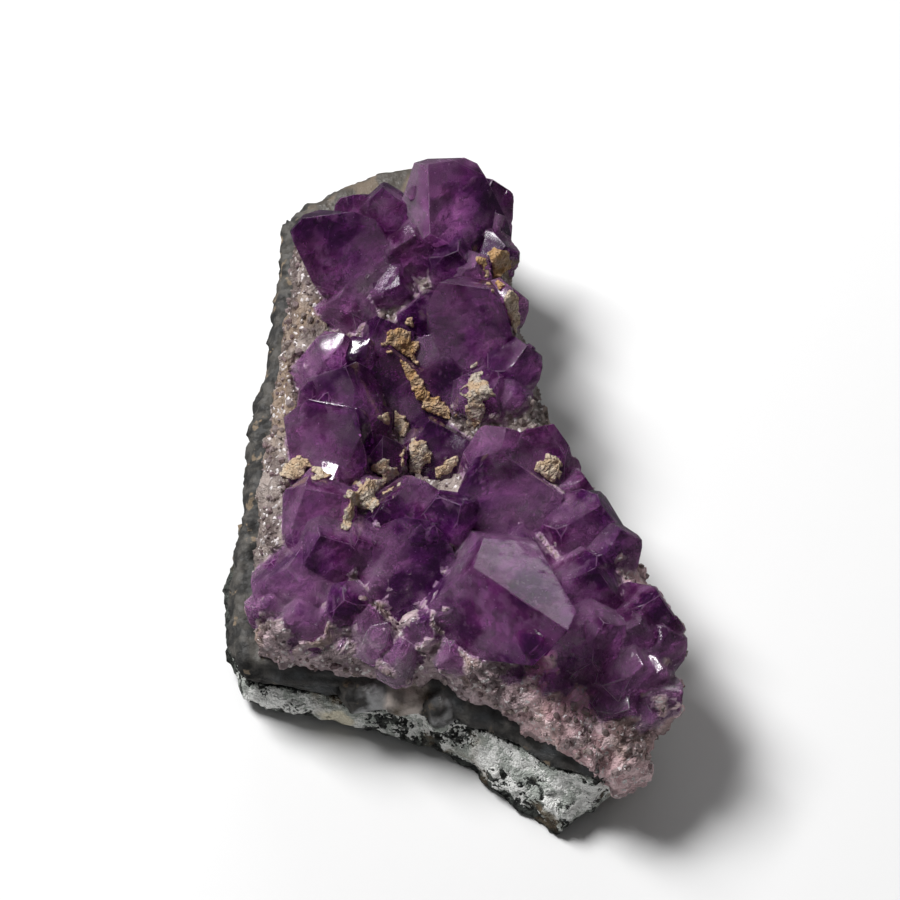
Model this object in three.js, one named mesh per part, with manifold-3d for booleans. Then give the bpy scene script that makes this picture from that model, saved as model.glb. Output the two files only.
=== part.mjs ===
// An amethyst cluster: a broken piece of geode wall that rests on its flat rock base, crystals upwards.
// From the bottom up it is basalt, a rind of grey agate, and quartz, which starts as a pale crust and
// ends in purple crystals. Small tan patches of calcite sit in the gaps between the crystals.
// Units are millimetres, +Z is up, and the origin is the middle of the base.
import * as THREE from "three";
import { ConvexGeometry } from "three/addons/geometries/ConvexGeometry.js";
import { ImprovedNoise } from "three/addons/math/ImprovedNoise.js";
import { mergeVertices } from "three/addons/utils/BufferGeometryUtils.js";
import Module from "manifold-3d";

const wasm = await Module();
wasm.setup();

// Layers
const AGATE_TOP = 14;
const AGATE_BOTTOM = 9.5; // at X = 0; the boundary is a tilted plane
const AGATE_SLOPE = 0.085; // rise of that plane for each millimetre along X
const CRUST_TOP = 21.5; // usual height of the quartz before the crystals begin
const JOINT_GAP = 0.3; // between touching pieces

// Quartz: angles of its faces, and how crystals differ
const PYRAMID_ANGLE = THREE.MathUtils.degToRad(51.8); // from a pyramid face's normal to the axis
const PRISM_TAPER = THREE.MathUtils.degToRad(2.5);
const MINOR_STEP = 0.1; // how far the three lesser pyramid faces are set back, as a share of the width
const USUAL_CUT = 0.05; // how far at most the greatest face is set in, as a share of the width
const SIDE_SPREAD = 0.14; // by how much a prism's side may be nearer or farther than its half width
const ROOT_DEPTH = 4; // how far a crystal goes down into the crust
const FIRST_SEED = 100; // of the small differences between crystals

// Low crystals that fill the room between the others
const LOW_SPACING = 6.5;
const LOW_START = [-36, -44]; // X and Y of the first
const LOW_SPAN = [74, 110]; // how far they go along X and Y
const LOW_SEED = 41;
const LOW_JITTER = 2;
const LOW_WIDTH = [6, 3]; // least, and by how much it varies
const LOW_RISE = [2.2, 2]; // of their tips above the crust, least, and by how much it varies
const LOW_LEAN = 22; // degrees at most
const LOW_CLEARANCE = 4.5; // from the crust's rim
const LOW_COVER = 0.5; // share of a tall crystal's width round its tip where none is needed

// The photograph shows the piece from 60 degrees above the horizon, so a place is given as millimetres
// across and up the picture, and a height above the base.
const VIEW_ELEVATION = THREE.MathUtils.degToRad(60);
const place = (across, up, height) =>
  new THREE.Vector3(
    across,
    (up - height * Math.cos(VIEW_ELEVATION)) / Math.sin(VIEW_ELEVATION),
    height,
  );

const SIGHT_START = 90; // height from which a line of sight is followed down
const SLAB = { width: 200, height: 60 }; // larger than the piece, to cut it along planes
const BLOCK_HEIGHT = 2; // of the block that the crust's top is shaped from, before that
const NEARNESS = 1e-4; // lengths below it count as nothing

// The rim of the rock, anticlockwise from the back. foot is X, Y at the base, brow is X, Y at the
// agate's top.
const ROCK_RIM = [
  { foot: [-2, 61], brow: [-2, 63.5] },
  { foot: [-7, 62.5], brow: [-7, 66] },
  { foot: [-12, 61], brow: [-12.5, 64] },
  { foot: [-17, 59.5], brow: [-17.5, 61.5] },
  { foot: [-22, 57], brow: [-23, 58.5] },
  { foot: [-25.5, 53], brow: [-27, 55] },
  { foot: [-26.5, 42], brow: [-27.5, 42] },
  { foot: [-28.5, 27], brow: [-29, 27] },
  { foot: [-31, 15], brow: [-31.3, 15] },
  { foot: [-31, 6], brow: [-31, 5] },
  { foot: [-34, 1], brow: [-32, 0] },
  { foot: [-35, -8], brow: [-32.5, -8] },
  { foot: [-34.5, -16], brow: [-32.5, -15.5] },
  { foot: [-31.5, -22.3], brow: [-31, -22] },
  { foot: [-26, -25], brow: [-26, -23.8] },
  { foot: [-18, -27], brow: [-18, -24.6] },
  { foot: [-10, -29.5], brow: [-11, -25.5] },
  { foot: [-2, -32.5], brow: [-4, -26.5] },
  { foot: [3, -36], brow: [2, -28.5] },
  { foot: [9, -41.5], brow: [8, -31.5] },
  { foot: [15.5, -46], brow: [14, -36] },
  { foot: [20, -41], brow: [20, -39.5] },
  { foot: [25, -35], brow: [26, -38.5] },
  { foot: [28, -27], brow: [30, -29] },
  { foot: [26, -17], brow: [29, -18] },
  { foot: [22, -7], brow: [24, -8] },
  { foot: [17, 3], brow: [19, 2] },
  { foot: [12, 14], brow: [13, 13] },
  { foot: [9, 28], brow: [10, 28] },
  { foot: [6, 42], brow: [7, 42] },
  { foot: [3, 55], brow: [4, 57] },
];

// The rim of the quartz crust, X and Y at mid height, anticlockwise from the back.
const CRUST_RIM = [
  [-2, 58.5],
  [-8, 57.5],
  [-15, 55],
  [-21.5, 52.5],
  [-25, 49],
  [-25.5, 40],
  [-27, 27],
  [-28.4, 15],
  [-29, 4],
  [-29.3, -2],
  [-29.4, -9],
  [-29.5, -16],
  [-29.3, -21.8],
  [-25, -23.4],
  [-17, -24.4],
  [-11, -24.8],
  [-4, -25.8],
  [2, -29],
  [8, -32],
  [14, -36],
  [20, -39.4],
  [26, -38],
  [32, -31.5],
  [32, -22],
  [27, -9],
  [21, 2],
  [14, 14],
  [11, 28],
  [8, 42],
  [4, 56],
];

// How the rock's side and the crust's side stand out from those rims. share is of the layer's height.
const ROCK_SIDE = [
  { share: 0, out: -1.6 },
  { share: 0.14, out: 0 },
  { share: 0.38, out: 0.7 },
  { share: 0.58, out: -0.3 },
  { share: 0.82, out: 0.8 },
  { share: 1, out: -0.4 },
];
const CRUST_SIDE = [
  { share: 0, out: -0.6 },
  { share: 0.25, out: 0.5 },
  { share: 0.55, out: 0.1 },
  { share: 0.8, out: -1.4 },
  { share: 1, out: -3.4 },
  { share: 1.8, out: -14 },
];
const CRUST_CELL = 5; // of the grid that its top is made of
const CRUST_FIELD = { width: 80, depth: 122, middleY: 12 }; // of that whole grid
const CRUST_WAVES = { height: 1.2, width: 6 };
const CRUST_JITTER_WIDTH = 2.3; // of the noise that moves the grid's points sideways, by a millimetre at most
const ROCK_MIDDLE = new THREE.Vector2(-4, 4);
const CRUST_MIDDLE = new THREE.Vector2(-2, 4);
const ROCK_ROUGHNESS = { depth: 1.6, grain: 5 };
const CRUST_ROUGHNESS = { depth: 1.6, grain: 3.5 };
const BEDDING = 2; // both are finer along the height than along the rim, by this factor
const SLICE = { rough: 7.3, waves: 3.1, jitter: 9.4 }; // where the noise is cut, so that its uses differ

// Rounded knobs of agate on the front, in the gap of its dark band.
const AGATE_KNOBS = [
  { at: [-12.8, -26, 9.6], radii: [4, 3, 3.6] },
  { at: [-7, -26.4, 10.2], radii: [4.2, 3.2, 3] },
  { at: [-2.2, -28, 9.6], radii: [2.8, 3, 3.6] },
];

const KNOB_DETAIL = 1; // of the icosahedron that a knob starts as
const LOBE_DETAIL = 1; // the same for the lobe

// A lobe of quartz that hangs over the agate at the front corner.
const LOBE = { at: [24.5, -38.8, 13.2], radii: [4.4, 2.8, 4.4] };

// Hollows and swells of the crust under the crystals: X, Y, spread and height.
const CRUST_RELIEF = [
  { x: -5, y: 24, spread: 7, rise: -4.5 },
  { x: -8, y: 11, spread: 6, rise: -4 },
  { x: 9, y: -18, spread: 12, rise: 2 },
  { x: 24, y: -36, spread: 8, rise: -3 },
  { x: -8, y: -19, spread: 3, rise: 3 },
  { x: -9, y: -24, spread: 2.5, rise: -4 },
  { x: 21, y: -31, spread: 2.5, rise: -4 },
];

// Where the crust lies bare, without low crystals: X, Y and radius.
const BARE = [
  { x: -27, y: 24, radius: 8 },
  { x: -12, y: -19, radius: 7 },
  { x: -4, y: -21, radius: 5 },
  { x: 9, y: -28, radius: 8 },
  { x: 24, y: -34, radius: 8 },
];

// The crystals, back to front, and then the paler ones of the front slope. Each has its tip's place, its
// width across flats, the direction and angle its axis leans, and the direction that its greatest pyramid
// face looks. Directions are degrees anticlockwise from +X. cut is how far that face is set in from the
// tip, as a share of the width, where it isn't the usual. Below 0 it stands out. steps is the same for all
// six pyramid faces, anticlockwise from that one, where most of them are set back.
const CRYSTALS = [
  {
    across: -1.9,
    up: 60.6,
    height: 36.5,
    width: 14.3,
    toward: 204.5,
    lean: 7.5,
    face: 327.5,
    steps: [-0.24, 0.01, 0.09, 0.26, 0.01, 0.25],
  },
  { across: 5.8, up: 60.5, height: 28, width: 9, toward: 40, lean: 20, face: 310 },
  { across: 7.2, up: 55, height: 25, width: 9, toward: 0, lean: 30, face: 330 },
  { across: -11.3, up: 59, height: 31, width: 8, toward: 120, lean: 10, face: 270 },
  { across: -16, up: 58, height: 28, width: 7, toward: 150, lean: 15, face: 210 },
  {
    across: -19.2,
    up: 51.7,
    height: 33.5,
    width: 12.1,
    toward: 201.5,
    lean: 19.7,
    face: 316.5,
    steps: [-0.29, 0.39, 0.14, 0.35, 0.36, 0.12],
  },
  { across: -6.3, up: 51.3, height: 29, width: 10, toward: 290, lean: 20, face: 270 },
  { across: 0.3, up: 49, height: 28, width: 9, toward: 300, lean: 20, face: 260 },
  { across: 7.8, up: 50, height: 25, width: 8, toward: 330, lean: 30, face: 300 },
  { across: 2.8, up: 46.5, height: 27, width: 5.5, toward: 270, lean: 25, face: 250 },
  { across: -8.5, up: 43.8, height: 25, width: 9, toward: 300, lean: 30, face: 270 },
  { across: -5.5, up: 41, height: 27, width: 9, toward: 200, lean: 15, face: 250, cut: 0.2 },
  { across: -11, up: 38.5, height: 26, width: 8, toward: 100, lean: 10, face: 300, cut: 0.15 },
  { across: -4.5, up: 36, height: 24, width: 8, toward: 80, lean: 10, face: 240, cut: 0.2 },
  { across: 8.8, up: 43, height: 28, width: 8, toward: 350, lean: 25, face: 300 },
  { across: -18, up: 41.8, height: 25.5, width: 9, toward: 230, lean: 15, face: 250 },
  {
    across: 1.2,
    up: 41,
    height: 33.8,
    width: 11.9,
    toward: 239,
    lean: 7.3,
    face: 259.5,
    steps: [-0.23, 0.27, 0.27, 0.15, 0.36, 0.13],
  },
  { across: -16.5, up: 36, height: 27, width: 6, toward: 25, lean: 32, face: 205, cut: -0.1 },
  { across: -12.8, up: 35.3, height: 26, width: 5.5, toward: 21, lean: 35, face: 201, cut: -0.08 },
  { across: 10.8, up: 34.3, height: 28, width: 9, toward: 0, lean: 20, face: 300 },
  { across: -1.6, up: 32, height: 26, width: 12, toward: 60, lean: 8, face: 262, cut: 0.26 },
  { across: -10, up: 33, height: 26, width: 12, toward: 90, lean: 8, face: 276, cut: 0.26 },
  { across: -16, up: 31.3, height: 30, width: 12, toward: 60, lean: 12, face: 0, cut: 0.05 },
  { across: 9.5, up: 27.5, height: 26, width: 7, toward: 320, lean: 22, face: 290 },
  { across: 5.5, up: 27.5, height: 27, width: 8, toward: 300, lean: 25, face: 240 },
  {
    across: -20.3,
    up: 25.9,
    height: 31.9,
    width: 12,
    toward: 110.5,
    lean: 17,
    face: 250.5,
    steps: [-0.25, 0.15, 0.19, 0.02, 0.12, 0.08],
  },
  { across: -3.6, up: 22.5, height: 24, width: 11, toward: 120, lean: 10, face: 285, cut: 0.2 },
  { across: -10.6, up: 21.3, height: 24, width: 6, toward: 90, lean: 20, face: 60, cut: 0.1 },
  { across: 7.3, up: 22, height: 29.5, width: 9, toward: 60, lean: 15, face: 200 },
  {
    across: 11.6,
    up: 22.4,
    height: 30.4,
    width: 8.5,
    toward: 125.5,
    lean: 12.5,
    face: 283.5,
    steps: [-0.24, -0.06, 0.13, -0.05, 0.02, 0.01],
  },
  { across: 16.5, up: 18, height: 24.5, width: 9, toward: 10, lean: 25, face: 320 },
  { across: 5.8, up: 18.5, height: 27.5, width: 9, toward: 190, lean: 20, face: 220 },
  {
    across: 7.8,
    up: 16.5,
    height: 30.7,
    width: 15.5,
    toward: 92,
    lean: 13,
    face: 282,
    steps: [-0.11, 0.41, 0.03, 0.14, 0.18, 0.17],
  },
  { across: 19.3, up: 14.5, height: 24, width: 7, toward: 0, lean: 26, face: 280 },
  { across: -21.8, up: 12.5, height: 31, width: 11, toward: 200, lean: 10, face: 300, cut: 0.1 },
  { across: -9.3, up: 11.5, height: 29, width: 12, toward: 210, lean: 15, face: 240 },
  { across: 0.8, up: 10.5, height: 30, width: 8, toward: 330, lean: 20, face: 330 },
  { across: 21.3, up: 10.5, height: 29.5, width: 12, toward: 0, lean: 15, face: 270 },
  {
    across: -6.3,
    up: 5.6,
    height: 32.4,
    width: 12.6,
    toward: 29.5,
    lean: 10,
    face: 267.5,
    steps: [-0.34, 0.33, 0.2, 0.22, 0.14, -0.18],
  },
  { across: 24.3, up: 6.8, height: 28, width: 8, toward: 350, lean: 16, face: 300 },
  { across: 9.5, up: 6.3, height: 27, width: 13, toward: 100, lean: 8, face: 270 },
  { across: -19.8, up: 6, height: 30, width: 16.5, toward: 240, lean: 12, face: 290 },
  { across: -14.3, up: 5.5, height: 28, width: 11, toward: 240, lean: 10, face: 290 },
  { across: -24.8, up: 1.2, height: 28, width: 13, toward: 220, lean: 15, face: 250 },
  { across: 20.3, up: 1.5, height: 31, width: 14, toward: 0, lean: 10, face: 260 },
  {
    across: 8.4,
    up: -4.8,
    height: 37.7,
    width: 17.7,
    toward: 288,
    lean: 33.7,
    face: 207.5,
    steps: [-0.18, 0.4, 0.41, 0.38, 0, 0.22],
  },
  { across: 29.5, up: -2.5, height: 29, width: 13, toward: 20, lean: 20, face: 270 },
  { across: -16.3, up: -3.3, height: 27, width: 7, toward: 260, lean: 20, face: 280 },
  { across: -23, up: -5, height: 26, width: 9, toward: 240, lean: 15, face: 270 },
  { across: -4.8, up: -6.5, height: 26, width: 6, toward: 255, lean: 18, face: 240 },
  { across: 17.5, up: -7.5, height: 30, width: 9, toward: 280, lean: 15, face: 240, cut: 0.1 },
  { across: 21.3, up: -6.3, height: 31, width: 10, toward: 300, lean: 12, face: 300 },
  { across: -1, up: -11.5, height: 24.5, width: 5, toward: 250, lean: 25, face: 270 },
  { across: 27, up: -12.5, height: 27, width: 10, toward: 310, lean: 25, face: 290 },
  { across: 33, up: -16.5, height: 22, width: 7, toward: 340, lean: 45, face: 0 },
  { across: -28, up: -4.5, height: 23.5, width: 8, toward: 240, lean: 30, face: 250, cut: 0.1 },
  { across: -20.5, up: -7, height: 24, width: 7.5, toward: 255, lean: 30, face: 240 },
  { across: -24, up: -9.5, height: 20.5, width: 6, toward: 250, lean: 35, face: 270 },
  { across: -17, up: -10.4, height: 20.5, width: 5.5, toward: 265, lean: 35, face: 250 },
  { across: -14, up: -9.8, height: 20.5, width: 6, toward: 275, lean: 30, face: 290, cut: 0.1 },
  { across: -12.5, up: -4, height: 25, width: 4.5, toward: 60, lean: 20, face: 280 },
  { across: -10, up: -6.5, height: 24, width: 4.5, toward: 40, lean: 25, face: 240 },
  { across: -7.5, up: -9, height: 23, width: 4.5, toward: 50, lean: 20, face: 300 },
  { across: -5, up: -11.5, height: 20.5, width: 4, toward: 300, lean: 25, face: 260 },
  { across: -1, up: -5.5, height: 28, width: 7.5, toward: 250, lean: 25, face: 250, cut: 0.1 },
  { across: 3.5, up: -13, height: 23, width: 7.5, toward: 265, lean: 35, face: 265, cut: 0.12 },
  { across: 9, up: -14.5, height: 22.5, width: 7, toward: 280, lean: 35, face: 250 },
  { across: 14, up: -16, height: 22.5, width: 6.5, toward: 270, lean: 35, face: 280 },
  { across: 19.5, up: -13, height: 25, width: 9, toward: 275, lean: 32, face: 275, cut: 0.1 },
  { across: 25, up: -19, height: 22, width: 8, toward: 290, lean: 40, face: 270 },
  { across: 30, up: -13, height: 25, width: 7, toward: 330, lean: 30, face: 290 },
  { across: 31, up: -7.5, height: 27, width: 7, toward: 350, lean: 18, face: 300 },
  { across: 26.5, up: -6.5, height: 29, width: 7, toward: 280, lean: 15, face: 260 },
  { across: 29, up: -20.5, height: 20, width: 6.5, toward: 310, lean: 45, face: 300 },
  { across: -17.8, up: 16.8, height: 26.5, width: 4, toward: 21, lean: 35, face: 201, cut: 0.3 },
];

// Calcite patches, each a coat on the crystals within a few ovals, as the line of sight shows them. wide
// and tall are an oval's sizes across and up the picture before it is turned, in millimetres and degrees.
const CALCITE = {
  calcite_back: [
    { across: 5.1, up: 48, wide: 3.8, tall: 2.8, turn: 20 },
    { across: 7, up: 47.8, wide: 3.2, tall: 3.4, turn: 0 },
    { across: 6, up: 45, wide: 3.6, tall: 5, turn: 0 },
  ],
  calcite_right_rim: [
    { across: 8.3, up: 41.2, wide: 3, tall: 2.8, turn: 0 },
    { across: 8.9, up: 38, wide: 2.4, tall: 4.4, turn: 10 },
  ],
  calcite_vein: [
    { across: -8.4, up: 35.2, wide: 5.2, tall: 4, turn: 10 },
    { across: -7.2, up: 37.4, wide: 1.6, tall: 3.4, turn: 0 },
    { across: -7, up: 31.5, wide: 2.3, tall: 6.4, turn: 12 },
    { across: -5.4, up: 27.6, wide: 2.2, tall: 4.8, turn: 35 },
    { across: -2.9, up: 25, wide: 2.6, tall: 5.8, turn: 60 },
  ],
  calcite_pocket_right: [
    { across: 3.4, up: 27.4, wide: 4, tall: 4, turn: 0 },
    { across: 2.9, up: 24.4, wide: 2.8, tall: 4.6, turn: 0 },
    { across: 2.9, up: 30.2, wide: 2, tall: 3.2, turn: 0 },
  ],
  calcite_pocket_left: [
    { across: -9.8, up: 23.3, wide: 4, tall: 2, turn: 0 },
    { across: -7.9, up: 21.8, wide: 2.6, tall: 2.4, turn: 0 },
  ],
  calcite_pocket_front: [
    { across: -6, up: 17.6, wide: 3.8, tall: 5.2, turn: -20 },
  ],
  calcite_front: [
    { across: -11.2, up: 14.4, wide: 5.2, tall: 4.8, turn: 0 },
    { across: -14, up: 11.6, wide: 5, tall: 3.4, turn: 150 },
    { across: -15.8, up: 9, wide: 1.8, tall: 4.4, turn: 160 },
  ],
  calcite_left: [
    { across: -23.8, up: 15.8, wide: 4.8, tall: 3.2, turn: 20 },
    { across: -20.6, up: 14.9, wide: 3, tall: 2, turn: 0 },
  ],
  calcite_sliver: [
    { across: -1.4, up: 15.9, wide: 5.4, tall: 1.8, turn: 38 },
  ],
  calcite_right: [
    { across: 13.8, up: 15.8, wide: 4, tall: 3.8, turn: 0 },
  ],
};
const CALCITE_THICKNESS = 1.5; // from the crystals' faces, with the gap
const CALCITE_REACH = 5; // how far above and below its seat a patch may run, along the line of sight
const CALCITE_DETAIL = 0; // of the icosahedron that an oval starts as, which leaves it angular
const CALCITE_WIDENING = 1.25; // because its flat faces lie within the oval
const CALCITE_ROUGHNESS = { depth: 0.8, grain: 1.7 };

// Colours and surfaces
const MINERALS = {
  basalt: { color: 0x3b4240, roughness: 0.9 },
  agate: { color: 0x4b4746, roughness: 0.45 },
  amethyst: { color: 0x63385f, roughness: 0.15 },
  calcite: { color: 0xc8a473, roughness: 0.8 },
};

// The same small numbers each time, from 0 to 1.
function randomFrom(seed) {
  let state = seed;
  return () => {
    state = (state * 1664525 + 1013904223) % 4294967296;
    return state / 4294967296;
  };
}

const perlin = new ImprovedNoise();
const roughness = (p, { depth, grain }) =>
  depth * perlin.noise(p.x / grain, p.y / grain, p.z / grain + SLICE.rough);

// A closed geometry as a solid that can be joined and cut.
function solid(geometry) {
  const bare = geometry.clone();
  bare.deleteAttribute("normal");
  bare.deleteAttribute("uv");
  const merged = mergeVertices(bare, NEARNESS);
  return new wasm.Manifold(
    new wasm.Mesh({
      numProp: 3,
      vertProperties: merged.attributes.position.array,
      triVerts: new Uint32Array(merged.index.array),
    }),
  );
}

function geometryOf(made) {
  const mesh = made.getMesh();
  const geometry = new THREE.BufferGeometry();
  geometry.setAttribute("position", new THREE.BufferAttribute(mesh.vertProperties, 3));
  geometry.setIndex(new THREE.BufferAttribute(mesh.triVerts, 1));
  geometry.computeVertexNormals();
  return geometry;
}

// A skin over rings of points, closed at the first and the last ring by their middles.
function skinOver(rings) {
  const count = rings[0].length;
  const points = rings.flat();
  const middle = (ring) =>
    ring.reduce((sum, p) => sum.add(p), new THREE.Vector3()).divideScalar(count);
  const low = points.push(middle(rings[0])) - 1;
  const high = points.push(middle(rings.at(-1))) - 1;
  const faces = [];
  for (let i = 0; i < count; i++) {
    const next = (i + 1) % count;
    faces.push(low, next, i);
    for (let r = 0; r < rings.length - 1; r++) {
      const [a, b] = [r * count + i, r * count + next];
      faces.push(a, b, b + count, a, b + count, a + count);
    }
    const last = (rings.length - 1) * count;
    faces.push(high, last + i, last + next);
  }
  const geometry = new THREE.BufferGeometry().setFromPoints(points);
  geometry.setIndex(faces);
  return geometry;
}

// The corners of a closed outline and the middles of its sides.
function withMiddles(corners) {
  return corners.flatMap((corner, i) => {
    const here = new THREE.Vector2(...corner);
    const next = new THREE.Vector2(...corners[(i + 1) % corners.length]);
    return [here, here.clone().lerp(next, 0.5)];
  });
}

// The broken side of the rock, from its base to the agate's top, rough all over and rounded at its foot.
function rockRings() {
  const foot = withMiddles(ROCK_RIM.map((r) => r.foot));
  const brow = withMiddles(ROCK_RIM.map((r) => r.brow));
  return ROCK_SIDE.map(({ share, out }) =>
    foot.map((f, i) => {
      const at = f.clone().lerp(brow[i], share);
      const z = AGATE_TOP * share;
      const rough = share && roughness(new THREE.Vector3(at.x, at.y, z * BEDDING), ROCK_ROUGHNESS);
      at.addScaledVector(at.clone().sub(ROCK_MIDDLE).normalize(), out + rough);
      return new THREE.Vector3(at.x, at.y, z);
    }),
  );
}

// A lump of about round shape: a sphere of flat faces, pushed in and out by the roughness.
function lump(radii, rough, detail, offset) {
  const ball = new THREE.IcosahedronGeometry(1, detail);
  const position = ball.attributes.position;
  const p = new THREE.Vector3();
  for (let i = 0; i < position.count; i++) {
    p.fromBufferAttribute(position, i);
    const outward = p.clone();
    p.multiply(radii);
    p.addScaledVector(outward, roughness(p.clone().add(offset), rough));
    position.setXYZ(i, p.x, p.y, p.z);
  }
  return ball;
}

// The lobe of quartz, larger all round by grow.
function lobe(grow) {
  const radii = new THREE.Vector3(...LOBE.radii).addScalar(grow);
  const made = lump(radii, CRUST_ROUGHNESS, LOBE_DETAIL, new THREE.Vector3(...LOBE.at));
  return solid(made.translate(...LOBE.at));
}

// The whole rock under the quartz, with its knobs and with room for the lobe.
function wholeRock() {
  const whole = AGATE_KNOBS.reduce((all, { at, radii }) => {
    const middle = new THREE.Vector3(...at);
    const knob = lump(new THREE.Vector3(...radii), ROCK_ROUGHNESS, KNOB_DETAIL, middle);
    return all.add(solid(knob.translate(...at)));
  }, solid(skinOver(rockRings())));
  return whole.subtract(lobe(JOINT_GAP));
}

// All that lies above a plane at that height in the middle, rising along X with that slope.
function above(height, slope) {
  const slab = new THREE.BoxGeometry(SLAB.width, SLAB.width, SLAB.height);
  slab.translate(0, 0, SLAB.height / 2);
  slab.rotateY(-Math.atan(slope));
  slab.translate(0, 0, height);
  return solid(slab);
}

// Height of the crust without its roughness, from which the crystals are measured.
function crustLevel(x, y) {
  return CRUST_RELIEF.reduce(
    (sum, r) =>
      sum + r.rise * Math.exp(-((x - r.x) ** 2 + (y - r.y) ** 2) / (2 * r.spread ** 2)),
    CRUST_TOP,
  );
}

function crustHeight(x, y) {
  const { height, width } = CRUST_WAVES;
  return crustLevel(x, y) + height * perlin.noise(x / width, y / width, SLICE.waves);
}

// A block whose top is the crust's surface, as a grid of flat cells.
function crustBlock(grow) {
  const { width, depth, middleY } = CRUST_FIELD;
  const low = AGATE_TOP + JOINT_GAP;
  const [columns, lines] = [width, depth].map((size) => Math.round(size / CRUST_CELL));
  const block = new THREE.BoxGeometry(width, depth, BLOCK_HEIGHT, columns, lines, 1);
  block.translate(0, middleY, 0);
  const position = block.attributes.position;
  for (let i = 0; i < position.count; i++) {
    const [x, y, z] = [position.getX(i), position.getY(i), position.getZ(i)];
    const aside = perlin.noise(x / CRUST_JITTER_WIDTH, y / CRUST_JITTER_WIDTH, SLICE.jitter);
    position.setXYZ(i, x + aside, y - aside, z < 0 ? low : crustHeight(x, y) + grow);
  }
  return solid(block);
}

// The massive quartz under the crystals. grow makes it larger all round.
function crust(grow) {
  const bottom = AGATE_TOP + JOINT_GAP;
  const rim = withMiddles(CRUST_RIM);
  const rings = CRUST_SIDE.map(({ share, out }) =>
    rim.map((at) => {
      const z = bottom + (crustHeight(at.x, at.y) - bottom) * share;
      const rough = roughness(new THREE.Vector3(at.x, at.y, z * BEDDING), CRUST_ROUGHNESS);
      const p = at
        .clone()
        .addScaledVector(at.clone().sub(CRUST_MIDDLE).normalize(), out + rough + grow);
      return new THREE.Vector3(p.x, p.y, z + grow * share);
    }),
  );
  return solid(skinOver(rings)).intersect(crustBlock(grow));
}

// The points where the planes of a convex body meet. Each plane is a normal and its distance from the
// origin.
function cornersOf(planes) {
  const corners = [];
  for (let i = 0; i < planes.length; i++)
    for (let j = i + 1; j < planes.length; j++)
      for (let k = j + 1; k < planes.length; k++) {
        const [a, b, c] = [planes[i], planes[j], planes[k]];
        const bc = b.normal.clone().cross(c.normal);
        const volume = a.normal.dot(bc);
        if (Math.abs(volume) < NEARNESS) continue;
        const p = bc
          .multiplyScalar(a.distance)
          .addScaledVector(c.normal.clone().cross(a.normal), b.distance)
          .addScaledVector(a.normal.clone().cross(b.normal), c.distance)
          .divideScalar(volume);
        if (planes.every((q) => q.normal.dot(p) < q.distance + NEARNESS)) corners.push(p);
      }
  return corners;
}

// A quartz crystal: six prism sides and a pyramid of three greater and three lesser faces. Its tip is
// the origin.
function crystal({ width, length, cut, steps, grow, random }) {
  const up = new THREE.Vector3(0, 0, 1);
  const planes = [{ normal: up.clone().negate(), distance: length }];
  const taper = (width / 2) * Math.tan(PYRAMID_ANGLE) * Math.tan(PRISM_TAPER);
  for (let k = 0; k < 6; k++) {
    const turn = (k * Math.PI) / 3;
    const outward = new THREE.Vector3(Math.cos(turn), Math.sin(turn), 0);
    const leaning = (angle) =>
      outward.clone().multiplyScalar(Math.sin(angle)).addScaledVector(up, Math.cos(angle));
    const [stepShare, sideShare] = [random(), random()];
    const minor = MINOR_STEP * (0.5 + stepShare);
    const major = k === 0 ? -(cut ?? USUAL_CUT * stepShare) : 0;
    const step = width * (steps ? steps[k] : k % 2 ? minor : major);
    const half = (width / 2) * (1 + SIDE_SPREAD * (2 * sideShare - 1));
    planes.push({ normal: leaning(PYRAMID_ANGLE), distance: step + grow });
    planes.push({ normal: leaning(Math.PI / 2 - PRISM_TAPER), distance: half - taper + grow });
  }
  return new ConvexGeometry(cornersOf(planes));
}

// Stands a crystal on its place, leaning, with its greatest face looking the way that its row says.
function grown(row, seed, grow) {
  const [toward, lean, face] = [row.toward, row.lean, row.face].map(THREE.MathUtils.degToRad);
  const tip = place(row.across, row.up, row.height);
  const root = crustLevel(tip.x, tip.y) - ROOT_DEPTH;
  const length = (row.height - root) / Math.cos(lean);
  const made = crystal({
    width: row.width,
    length,
    cut: row.cut,
    steps: row.steps,
    grow,
    random: randomFrom(seed),
  });
  const axis = new THREE.Vector3(-Math.sin(toward), Math.cos(toward), 0);
  made.rotateZ(face);
  made.applyMatrix4(new THREE.Matrix4().makeRotationAxis(axis, lean));
  made.translate(tip.x, tip.y, tip.z);
  return solid(made);
}

const insideRim = (x, y) =>
  CRUST_RIM.reduce((inside, [ax, ay], i) => {
    const [bx, by] = CRUST_RIM[(i + 1) % CRUST_RIM.length];
    const crosses = ay > y !== by > y && x < ((bx - ax) * (y - ay)) / (by - ay) + ax;
    return crosses ? !inside : inside;
  }, false);

const clearOfRim = (x, y) =>
  [0, 1, 2, 3, 4, 5, 6, 7].every((k) => {
    const turn = (k * Math.PI) / 4;
    return insideRim(x + LOW_CLEARANCE * Math.cos(turn), y + LOW_CLEARANCE * Math.sin(turn));
  });

const underTall = (x, y) =>
  CRYSTALS.some((row) => {
    const tip = place(row.across, row.up, row.height);
    return Math.hypot(tip.x - x, tip.y - y) < LOW_COVER * row.width;
  });

const bare = (x, y) => BARE.some((b) => Math.hypot(b.x - x, b.y - y) < b.radius);

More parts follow.
